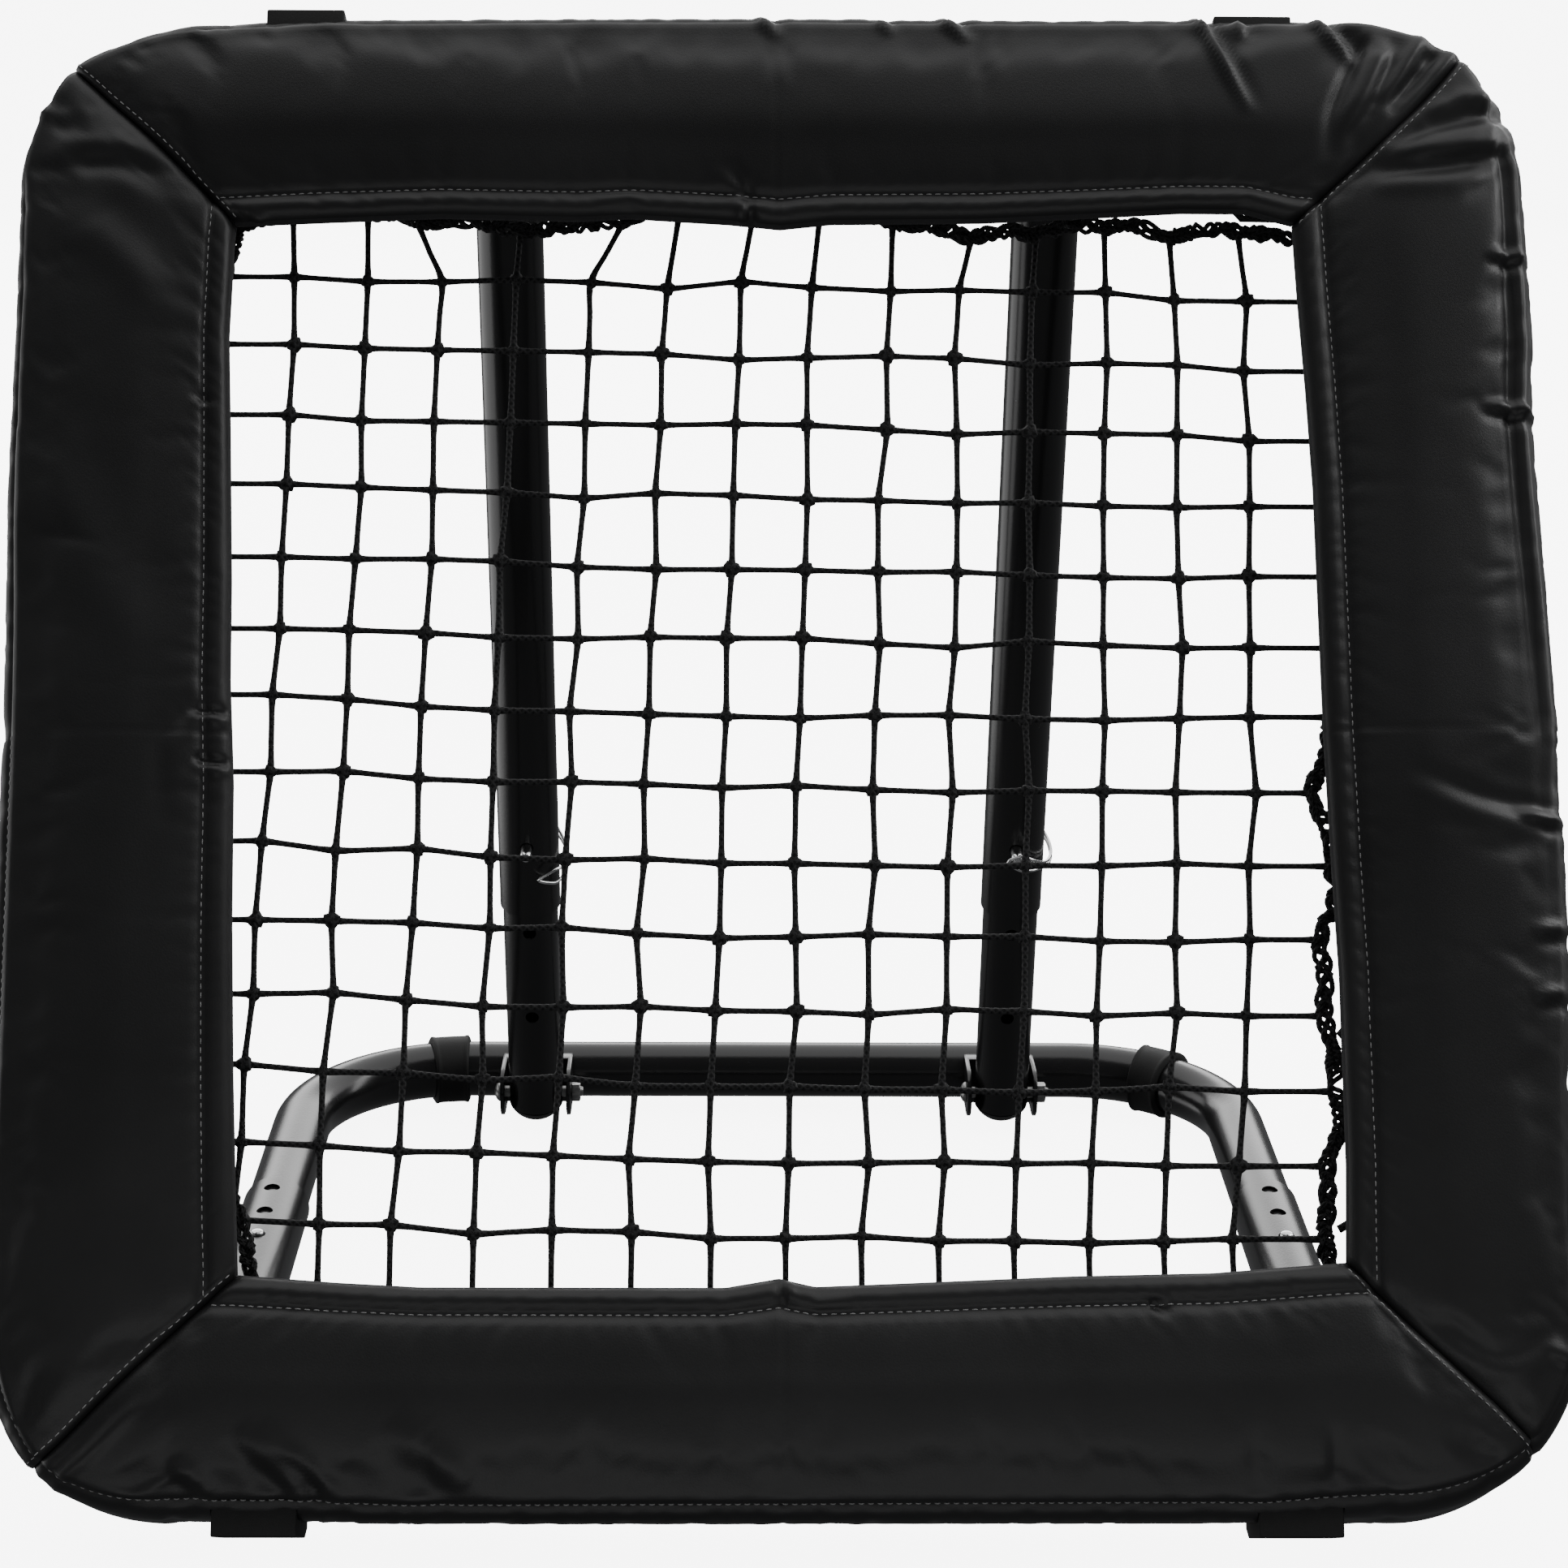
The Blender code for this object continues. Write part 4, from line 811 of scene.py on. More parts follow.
def makeStruts():
    strut, pinAt, top = strutParts, stand["pinAt"], stand["strutLength"]
    beside = baseParts["besideHole"]
    for side, sign in sides.items():
        stops = [-strut["lowerEnd"], 0.009, 0.03]
        for hole, after in zip(strut["holes"], (0.11, 0.18)):
            stops += [hole - beside, hole + beside, after]
        stops += [0.3, strut["slotTop"]]
        drills = [drillStrut(sign, 0.0, strut["boltHole"], "x")]
        drills += [drillStrut(sign, z, strut["holeRadius"]) for z in (*strut["holes"], pinAt)]
        drills.append(slotCutter(sign))
        addTube("lowerStrut_" + side, strutPath(sign, stops),
                (strut["lowerRadius"], strut["lowerWall"], strut["round"]), drills,
                "strut_lower_" + side, "strut_lower_tube_" + side, sideways)
        stops = [strut["upperFrom"], 0.18, pinAt - beside, pinAt + beside, 0.3, 0.45, 0.6,
                 top - 0.014, top + 0.014, top + strut["upperEnd"]]
        addTube("upperStrut_" + side, strutPath(sign, stops),
                (strut["upperRadius"], strut["upperWall"], strut["round"]),
                [drillStrut(sign, pinAt, strut["holeRadius"]),
                 drillStrut(sign, top, strut["openPivot"], "x")],
                "strut_upper_" + side, "strut_upper_tube_" + side, sideways)
        makeEndPlug(side, sign)
        makePin(side, sign)


plugParts = {"seat": -0.0083, "dome": 0.0208, "spigot": 0.0174, "tall": 0.014}


def makeEndPlug(side, sign):
    # a spigot inside the tube, and under its seat a dome of one radius round the bolt
    seat, dome, spigot, tall = (plugParts[part] for part in ("seat", "dome", "spigot", "tall"))
    rim = math.asin(-seat / dome)
    cap = [(dome * math.cos(t), -dome * math.sin(t))
           for t in np.linspace(rim, math.pi / 2, 17)[1:-1]] + [(0.0, -dome)]
    edge = dome * math.cos(rim)
    profile = [(0.0, tall), (spigot - 0.0016, tall), (spigot, tall - 0.0015), (spigot, seat),
               (edge - 0.0006, seat), (edge - 0.0001, seat - 0.0004)] + cap
    skin = turnedShape(profile, 56, lambda a, b, h: onStrut(sign, a, b, h))
    plug = buildPiece("strutPlug_" + side, [skin], plastic)
    cutAway(plug, [drillStrut(sign, 0.0, strutParts["boltHole"], "x")])
    settle(plug, "strut_lower_" + side, "plastic", "strut_end_plug_" + side)


pinParts = {"radius": 0.004, "head": 0.007, "headLow": 0.022, "headTall": 0.009, "tip": 0.035,
            "wire": 0.0011, "wireHole": 0.0014}
# the wire's way on each pin: right of it, forward of the strut's middle, up, half spread
bailWay = {
    "right": [(0.0060, -0.0270, -0.0005, 0.0085), (0.0150, -0.0250, -0.0040, 0.0040),
              (0.0235, -0.0150, -0.0100, 0.0017), (0.0262, -0.0020, -0.0135, 0.0017),
              (0.0240, 0.0120, -0.0130, 0.0017), (0.0185, 0.0230, -0.0100, 0.0020),
              (0.0100, 0.0340, -0.0040, 0.0042), (0.0020, 0.0372, -0.0008, 0.0056),
              (-0.0065, 0.0372, 0.0, 0.0)],
    "left": [(0.0060, -0.0270, -0.0015, 0.0085), (0.0150, -0.0250, -0.0070, 0.0040),
             (0.0235, -0.0150, -0.0150, 0.0017), (0.0264, -0.0020, -0.0200, 0.0017),
             (0.0255, 0.0090, -0.0220, 0.0022), (0.0225, 0.0160, -0.0225, 0.0045),
             (0.0180, 0.0210, -0.0225, 0.0050), (0.0080, 0.0265, -0.0220, 0.0)],
}


def makePin(side, sign):
    # the pin lies front to back: its profile's height runs along -y of the strut
    part, z = pinParts, stand["pinAt"]
    low, high = -part["headLow"], -part["headLow"] - part["headTall"]
    middle = part["headLow"] + part["headTall"] / 2
    head, radius, tip = part["head"], part["radius"], part["tip"]
    profile = rounded([(0.0, high), (head, high), (head, low), (radius, low),
                       (radius, tip - 0.003), (radius * 0.7, tip), (0.0, tip)], 0.0012)
    skin = turnedShape(profile, 40, lambda a, b, h: onStrut(sign, a, -h, z + b))
    pin = buildPiece("lockPin_" + side, [skin], chrome)
    cutAway(pin, [drill(onStrut(sign, 0.0, middle, z - 0.02), onStrut(sign, 0.0, middle, z + 0.02),
                        part["wireHole"])])
    settle(pin, "pin_" + side, "chrome", "lock_pin_" + side)
    # the wire leaves the head's top, follows its way there, and comes back below
    there = [(0.0, middle, 0.0035), (0.0, middle, 0.0070)]
    there += [(x, -forward, rise + spread) for x, forward, rise, spread in bailWay[side]]
    back = [(x, -forward, rise - spread) for x, forward, rise, spread in bailWay[side][-2::-1]]
    back += [(0.0, middle, -0.0070), (0.0, middle, -0.0035)]
    way = smoothWay([onStrut(sign, x, y, z + rise) for x, y, rise in there + back], 7)
    wire = roundBar(way, part["wire"], 14, (0.0, 0.3, 1.0))
    addPiece("wireBail_" + side, [wire], chrome, "bail_" + side, "chrome", "pin_bail_" + side)


makeStruts()
print("rebounder net: struts made")


# frame
frameParts = {"radius": 0.019, "wall": 0.0012, "corner": 0.060, "gap": 0.0003, "round": 56,
              "blockEdge": 0.0012}


def halfFrame(sign):
    # one U of the frame's middle line: up one side, round a corner, across and down again
    rail, corner = stand["rail"], frameParts["corner"]
    near = rail - corner
    turn = np.linspace(0.0, math.pi / 2, 17)
    right = np.stack([near + corner * np.cos(turn), near + corner * np.sin(turn)], -1)
    start = np.array([[rail, frameParts["gap"] / 2], [rail, 0.1], [rail, 0.22]])
    quarter = np.vstack([start, right, [[0.2, rail], [0.06, rail]]])
    whole = np.vstack([quarter, (quarter * [-1, 1])[::-1]])
    return onFrame(sign * whole[:, 0], sign * whole[:, 1], 0.0)


def makeFrame():
    part = frameParts
    for name, node, sign in (("frameUpper", "frame_tube_upper", 1.0),
                             ("frameLower", "frame_tube_lower", -1.0)):
        wall = tubeWall(halfFrame(sign), part["radius"], part["wall"], part["round"], outOfFace)
        addPiece(name, [wall], paint, "frame", "black_paint", node)
    for level in ("upper", "lower"):
        for side in sides:
            settleEased("foot_block_%s_%s" % (level, side), "footBlock_%s_%s" % (level, side),
                        rubber, ("frame", "rubber"), part["blockEdge"], 3)
    for side in sides:
        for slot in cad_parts["frame_joiner_" + side].material_slots:
            slot.material = paint


strapParts = {"width": 0.028, "thick": 0.0012, "gap": 0.0003, "hollow": 0.026, "back": 0.024,
              "endAt": 0.0561665, "sideAt": 0.1684995}


def makeStraps():
    # a flat band along a smooth way round the tube: its section is a thin box with soft edges
    strap = strapParts
    lift = strap["gap"] + strap["thick"] / 2
    near = stand["rail"] - strap["hollow"] - 0.002
    back, front = strap["back"] + lift, lift - strap["hollow"]
    way = smoothWay([(0.4405, back), (0.423, back), (0.395, back), (near + 0.010, back - 0.003),
                     (near + 0.002, back - 0.013), (near, 0.0), (near - 0.001, front + 0.009),
                     (near - 0.006, front + 0.001), (near - 0.011, front),
                     (near - 0.024, front)], 6)
    run = unit(np.gradient(way, axis=0))
    square = np.stack([-run[:, 1], run[:, 0]], -1)
    half, thick = strap["width"] / 2, strap["thick"] / 2
    ring = rounded([(half, 0.0), (half, thick), (-half, thick), (-half, -thick), (half, -thick),
                    (half, 0.0)], 0.0005, 3)[:-1]
    band = way[:, None, :] + ring[None, :, 1:] * square[:, None, :]
    for side in ("top", "right", "bottom", "left"):
        place = strap["endAt"] if side in ("top", "bottom") else strap["sideAt"]
        for end, sign in (("a", -1.0), ("b", 1.0)):
            along = sign * place + ring[None, :, 0] + 0.0 * way[:, :1]
            points = onSide(side, along, band[:, :, 0], -band[:, :, 1])
            caps = [row.mean(1, keepdims=True).repeat(len(ring), 1)
                    for row in (points[:1], points[-1:])]
            skin = skinOver(np.concatenate([caps[0], points, caps[1]]), False, True,
                            np.append(ring[:, 0], ring[0, 0]))
            addPiece("loopStrap_%s_%s" % (side, end), [skin], loopStrap, "frame", "webbing",
                     "pad_strap_%s_%s" % (side, end))


makeFrame()
makeStraps()
print("rebounder net: frame and straps made")


# net
netParts = {"cords": 14, "cordRadius": 0.00176, "swell": 0.34, "lift": 0.3, "overlap": 0.0025,
            "knotRadius": 0.0045, "knotLobe": 0.16, "knotDent": 0.10, "knotFlat": 0.72,
            "jitter": 0.0012, "mostJitter": 0.0025}
# how the knots drift from an even square, fitted to the photograph: column i and row j count
# from -1 to 1; each term is its powers of i and j and its share of across and up, in mm
netDrift = [(0, 0, -10.3, -3.0), (0, 1, 7.7, 286.0), (0, 2, 0.9, 2.8), (0, 3, 0.3, -0.5),
            (1, 0, 289.2, -4.7), (1, 1, 1.7, 2.5), (1, 2, -2.2, 0.2), (1, 3, 1.1, -2.0),
            (2, 0, 0.6, 3.1), (2, 1, 1.5, -3.2), (2, 2, -5.8, -1.8), (3, 0, -2.8, -1.0),
            (3, 1, -1.0, -1.4)]
# how far along the border each cord's end lies from the cord's last knot, at the top
slantedEnds = [-0.002, -0.001, -0.0155, 0.002, 0.019, 0.007, 0.0075, 0.005, 0.0015, 0.0075, 0.003,
               0.000, -0.002, -0.004]
# the border rope's middle line on each side: along, outward
borderWay = {
    "top": [(-0.324, 0.323), (-0.30, 0.332), (-0.26, 0.334), (-0.218, 0.3270), (-0.195, 0.325),
            (-0.172, 0.3250), (-0.155, 0.321), (-0.142, 0.3165), (-0.125, 0.3220), (-0.105, 0.3260),
            (-0.085, 0.330), (-0.06, 0.335), (0.03, 0.335), (0.072, 0.327), (0.095, 0.3230),
            (0.118, 0.3185), (0.14, 0.3210), (0.162, 0.3215), (0.182, 0.326), (0.207, 0.326),
            (0.240, 0.3190), (0.265, 0.3225), (0.29, 0.3250), (0.308, 0.322), (0.317, 0.317)],
    "right": [(-0.313, 0.322), (-0.25, 0.334), (-0.10, 0.335), (-0.005, 0.324), (0.009, 0.3155),
              (0.023, 0.3120), (0.043, 0.316), (0.062, 0.321), (0.081, 0.3245), (0.100, 0.318),
              (0.115, 0.3135), (0.148, 0.3140), (0.170, 0.3160), (0.190, 0.3180), (0.214, 0.3215),
              (0.237, 0.3150), (0.265, 0.3105), (0.288, 0.3110), (0.301, 0.3150), (0.314, 0.3140)],
    "bottom": [(-0.316, 0.323), (-0.26, 0.332), (-0.10, 0.335), (0.10, 0.335), (0.20, 0.330),
               (0.255, 0.3185), (0.278, 0.3165), (0.293, 0.3145)],
    "left": [(-0.311, 0.296), (-0.293, 0.3015), (-0.275, 0.3060), (-0.24, 0.320), (-0.18, 0.332),
             (0.05, 0.337), (0.20, 0.339), (0.29, 0.336), (0.308, 0.330)],
}


def knotPlaces():
    # across and up of every knot: the sum of the drift's terms, and a small fixed scatter
    count = netParts["cords"]
    i, j = np.meshgrid(np.linspace(-1, 1, count), np.linspace(-1, 1, count), indexing="ij")
    place = sum(i[..., None] ** a * j[..., None] ** b * np.array([across, rise])
                for a, b, across, rise in netDrift) * 0.001
    scatter = np.random.default_rng(41).normal(0.0, netParts["jitter"], place.shape)
    return place + np.clip(scatter, -netParts["mostJitter"], netParts["mostJitter"])


def borderPlace(side, along):
    # outward place of the rope's middle line
    return readTable(borderWay[side], along)


def makeNet():
    knots = knotPlaces()
    ends = {"bottom": -knots[:, 0, 0], "top": knots[:, -1, 0] + np.array(slantedEnds),
            "left": knots[0, :, 1], "right": -knots[-1, :, 1]}
    tied = {side: [sideTurned(side, a, o) for a, o in
                   zip(along, borderPlace(side, along) - netParts["overlap"])]
            for side, along in ends.items()}
    skins = []
    for k in range(netParts["cords"]):
        for low, row, high, lift in (("bottom", knots[k], "top", netParts["lift"]),
                                     ("left", knots[:, k], "right", -netParts["lift"])):
            skins.append(netCordSkin(np.vstack([tied[low][k], row, tied[high][k]]), lift))
    skins.append(knotSkin(knots.reshape(-1, 2)))
    addPiece("netCords", skins, netCord, "frame", "cord", "net_mesh")
    makeBorderRope(ends)


def netCordSkin(places, lift):
    # a cord through its knots, nearly straight from knot to knot; its radius grows towards
    # each knot: r (1 + swell |cos|^8), the cosine turning half a time from knot to knot
    middles = (places[1:] + places[:-1]) / 2
    controls = np.empty((len(places) + len(middles), 2))
    controls[0::2], controls[1::2] = places, middles
    way = smoothWay(controls, 5)
    share = np.abs(np.cos(math.pi * np.arange(len(way)) / 10.0))
    radius = netParts["cordRadius"] * (1.0 + netParts["swell"] * share ** 8)
    path = onFrame(way[:, 0], way[:, 1], lift * netParts["cordRadius"])
    return roundBar(path, radius, 8, outOfFace)


def knotSkin(places):
    # a lumpy ball at each knot: radius = r (1 + lobes of the longitude and latitude),
    # flattened out of the net's plane and turned by a fixed scatter
    rows, columns = 6, 9
    polar = np.linspace(0.0, math.pi, rows)[None, :, None]
    around = (np.arange(columns) * 2.0 * math.pi / columns)[None, None, :]
    scatter = np.random.default_rng(7)
    turn = scatter.uniform(0.0, 2.0 * math.pi, len(places))[:, None, None]
    grow = scatter.uniform(0.85, 1.15, len(places))[:, None, None]
    lobes = netParts["knotLobe"] * np.cos(3.0 * around + turn) * np.sin(polar)
    dents = netParts["knotDent"] * np.cos(2.0 * polar + turn)
    radius = netParts["knotRadius"] * grow * (1.0 + lobes + dents)
    flat = radius * np.sin(polar)
    across = places[:, 0][:, None, None] + flat * np.cos(around + turn)
    rise = places[:, 1][:, None, None] + flat * np.sin(around + turn)
    return manySkins(onFrame(across, rise, netParts["knotFlat"] * radius * np.cos(polar)))


ropeParts = {"strands": 5, "radius": 0.0016, "swing": 0.0036, "depth": 0.0018, "pitch": 0.021,
             "step": 0.0017, "scallop": 0.0028, "loose": 0.9}


def makeBorderRope(ends):
    # a loose flat braid round the net: strand k lies at swing sin(w + k turn) sideways and
    # depth sin(2w + 2k turn) out of the plane; w runs with the distance and wanders by slow
    # waves of its own, and so does each strand's swing. The rope is scalloped: each cord's end
    # draws it in by half the scallop, and it stands out by as much between them
    rope = ropeParts
    controls = []
    for side in ("top", "right", "bottom", "left"):
        table = np.array(borderWay[side])
        ties = np.sort(ends[side])
        between = (ties[1:] + ties[:-1]) / 2
        along = np.concatenate([table[[0, -1], 0], ties, between])
        scallop = rope["scallop"] / 2
        drawn = np.repeat([0.0, -scallop, scallop], [2, len(ties), len(between)])
        order = np.argsort(along)
        order = order[(along[order] >= table[0, 0]) & (along[order] <= table[-1, 0])]
        along, drawn = along[order], drawn[order]
        controls += [sideTurned(side, a, o)
                     for a, o in zip(along, borderPlace(side, along) + drawn)]
    loop = smoothWay(controls, 5, closed=True)
    way = evenWay(np.vstack([loop, loop[:1]]), rope["step"])[:-1]
    path = onFrame(way[:, 0], way[:, 1], 0.0)
    side, out = sectionAxes(path, outOfFace, closed=True)
    run = lengths(path)
    whole = run[-1] + rope["step"]
    turns = round(whole / rope["pitch"])
    slow = 2.0 * math.pi * run / whole
    skins = []
    for k in range(rope["strands"]):
        wave = 2.0 * math.pi * (turns * run / whole + k / rope["strands"])
        wave += rope["loose"] * (np.sin((31 + 9 * k) * slow) + np.sin((53 + 13 * k) * slow + k))
        swing = rope["swing"] * (1.0 + 0.28 * np.sin((71 + 17 * k) * slow + 2.0 * k))
        strand = (path + (swing * np.sin(wave))[:, None] * side
                  + (rope["depth"] * np.sin(2.0 * wave))[:, None] * out)
        skins.append(roundBar(strand, rope["radius"], 6, outOfFace, closed=True))
    addPiece("borderRope", skins, netCord, "frame", "cord", "net_border_rope")


laceParts = {"radius": 0.0024, "ring": 0.0219, "pitch": 0.112333, "advance": 0.018067,
             "wraps": 5, "tie": 0.0066, "steps": 8, "halfTurn": math.radians(135.0),
             "corner": 0.3385}


def makeLacing():
    # the bungee: from the rope round the tube and back, all round the frame
    lace = laceParts
    turn = np.linspace(-1.0, 1.0, 2 * lace["steps"] + 1)
    around = math.pi + turn * lace["halfTurn"]
    route = []
    for side in ("right", "top", "left", "bottom"):
        start = -lace["pitch"] * lace["wraps"] / 2
        places = [(start, tieOut(side, -start), 0.0)]
        for wrap in range(lace["wraps"]):
            middle = (wrap - (lace["wraps"] - 1) / 2) * lace["pitch"]
            places += list(zip(middle + turn * lace["advance"],
                               stand["rail"] - lace["ring"] * np.cos(around),
                               -lace["ring"] * np.sin(around)))
            stop = middle + lace["pitch"] / 2
            places.append((stop, tieOut(side, -stop), 0.0))
        if side != "bottom":
            places.append((lace["corner"], lace["corner"], 0.0))
        route += [onSide(side, -along, outward, -behind) for along, outward, behind in places]
    way = smoothWay(route, 3)
    skin = roundBar(way, lace["radius"], 10, laceHint(way))
    addPiece("bungeeLacing", [skin], bungeeCord, "frame", "cord", "bungee_lacing")


def laceHint(way):
    # a direction never along the bungee: square to its run and to the line from the middle
    away = unit(way - onFrame(0.0, 0.0, 0.0))
    run = unit(np.gradient(way, axis=0))
    flat = np.abs((run * outOfFace).sum(1))[:, None]
    return outOfFace * (1.0 - flat) + np.cross(outOfFace, away) * flat


def tieOut(side, along):
    # how far out the bungee is tied to the rope
    return float(borderPlace(side, along)) + laceParts["tie"]


makeNet()
makeLacing()
print("rebounder net: net and lacing made")


# padded cover
padParts = {"inside": 0.311, "outside": 0.4445, "hollow": 0.026, "face": 0.0395, "hem": 0.008,
            "crown": 0.0022, "back": 0.024, "turnAt": 0.341, "cell": 0.0054, "seamDrop": 0.0026,
            "gap": 0.0002, "fine": 2, "length": 0.80, "stitchIn": 0.0135, "weltDip": 0.0042,
            "weltWidth": 0.0026, "lap": 0.0046, "lapTall": 0.0010, "lapEdge": 0.0012,
            "mitreDip": 0.0026, "mitreWidth": 0.0030, "mitreFade": 0.007}
# the relief along the section: which seam, share of the way to it, how far past, width, height
reliefWaves = [("stitch", 1.0, 0.0, 0.0028, -0.0016), ("stitch", 0.5, 0.0, 0.0045, 0.0012),
               ("seam", 1.0, -0.0065, 0.0045, 0.0016), ("seam", 1.0, 0.0110, 0.0090, 0.0026)]
# steps of the cloth, the most it may move, and its settings: shrink_min is its spare cloth
clothParts = {"frames": 18, "cap": 0.0030}
clothSettings = {"quality": 5, "mass": 0.25, "tension_stiffness": 12.0,
                 "compression_stiffness": 6.0, "shear_stiffness": 4.0, "bending_stiffness": 0.25,
                 "use_pressure": True, "uniform_pressure_force": 1.0, "shrink_min": -0.004,
                 "vertex_group_mass": "held"}
notchParts = {"at": 0.287, "half": 0.0238, "from": 0.401, "to": 0.48, "depth": 0.0259,
              "back": -0.05}
# where each pull of the cover's edges begins, and the reach over which it grows
warpParts = {"outward": 0.04, "onFace": (-0.012, 0.045), "corner": (0.27, 0.12),
             "tip": (0.36, 0.054), "side": (0.155, 0.155)}
# where the opening's edge lies: along each side, and how far out of the even square it is
innerEdge = {
    "top": [(-0.311, 0.000), (-0.26, 0.003), (-0.20, 0.0060), (-0.12, 0.0045), (-0.09, 0.0065),
            (-0.03, 0.003), (0.0, 0.000), (0.03, 0.0035), (0.06, 0.004), (0.12, 0.005),
            (0.20, 0.0095), (0.24, 0.0120), (0.28, 0.0120), (0.311, 0.004)],
    "right": [(-0.311, -0.004), (-0.27, -0.0025), (-0.21, 0.0007), (-0.15, 0.003),
              (-0.06, 0.0036), (0.0, 0.004), (0.08, 0.006), (0.14, 0.008), (0.25, 0.008),
              (0.311, 0.006)],
    "bottom": [(-0.311, -0.008), (-0.24, -0.002), (-0.16, 0.000), (-0.08, 0.0035),
               (-0.02, 0.006), (0.0, 0.0015), (0.03, 0.0065), (0.20, 0.0065), (0.25, 0.004),
               (0.311, 0.000)],
    "left": [(-0.311, -0.010), (-0.28, -0.008), (-0.20, -0.0035), (-0.11, 0.0005),
             (-0.03, 0.0025), (0.0, 0.0045), (0.03, 0.0065), (0.09, 0.0080), (0.18, 0.0120),
             (0.24, 0.0150), (0.30, 0.0140), (0.311, 0.013)],
}
# how far the outer edge bulges past the even square, along each side
outerEdge = {
    "top": [(-0.36, -0.001), (-0.24, 0.000), (-0.12, 0.002), (0.0, 0.0035), (0.12, 0.003),
            (0.24, 0.004), (0.32, 0.003), (0.38, 0.002)],
    "right": [(-0.38, 0.000), (-0.30, 0.002), (-0.24, 0.003), (-0.20, 0.000), (-0.15, 0.001),
              (-0.09, 0.003), (0.0, 0.0055), (0.03, 0.003), (0.06, 0.006), (0.14, 0.005),
              (0.20, 0.001), (0.36, -0.002)],
    "bottom": [(-0.38, -0.004), (-0.30, -0.007), (0.0, -0.0055), (0.20, -0.0045), (0.24, -0.006),
               (0.34, -0.010), (0.40, -0.010)],
    "left": [(-0.36, -0.004), (-0.20, -0.002), (-0.06, 0.000), (0.0, 0.001), (0.06, 0.003),
             (0.12, 0.006), (0.20, 0.008), (0.28, 0.008), (0.34, 0.006), (0.39, 0.003)],
}
# how far each outer corner of the face is pulled askew: across, up
cornerPull = {(-1, 1): (-0.0065, -0.0080), (1, 1): (-0.0016, 0.0016),
              (-1, -1): (0.0045, -0.0030), (1, -1): (0.0050, 0.0110)}
# how far each corner's very tip is drawn out of its round, besides: across, up
cornerTip = {(-1, 1): (-0.0064, 0.0064), (1, 1): (0.0020, 0.0092),
             (-1, -1): (0.0015, -0.0005), (1, -1): (-0.0010, -0.0010)}
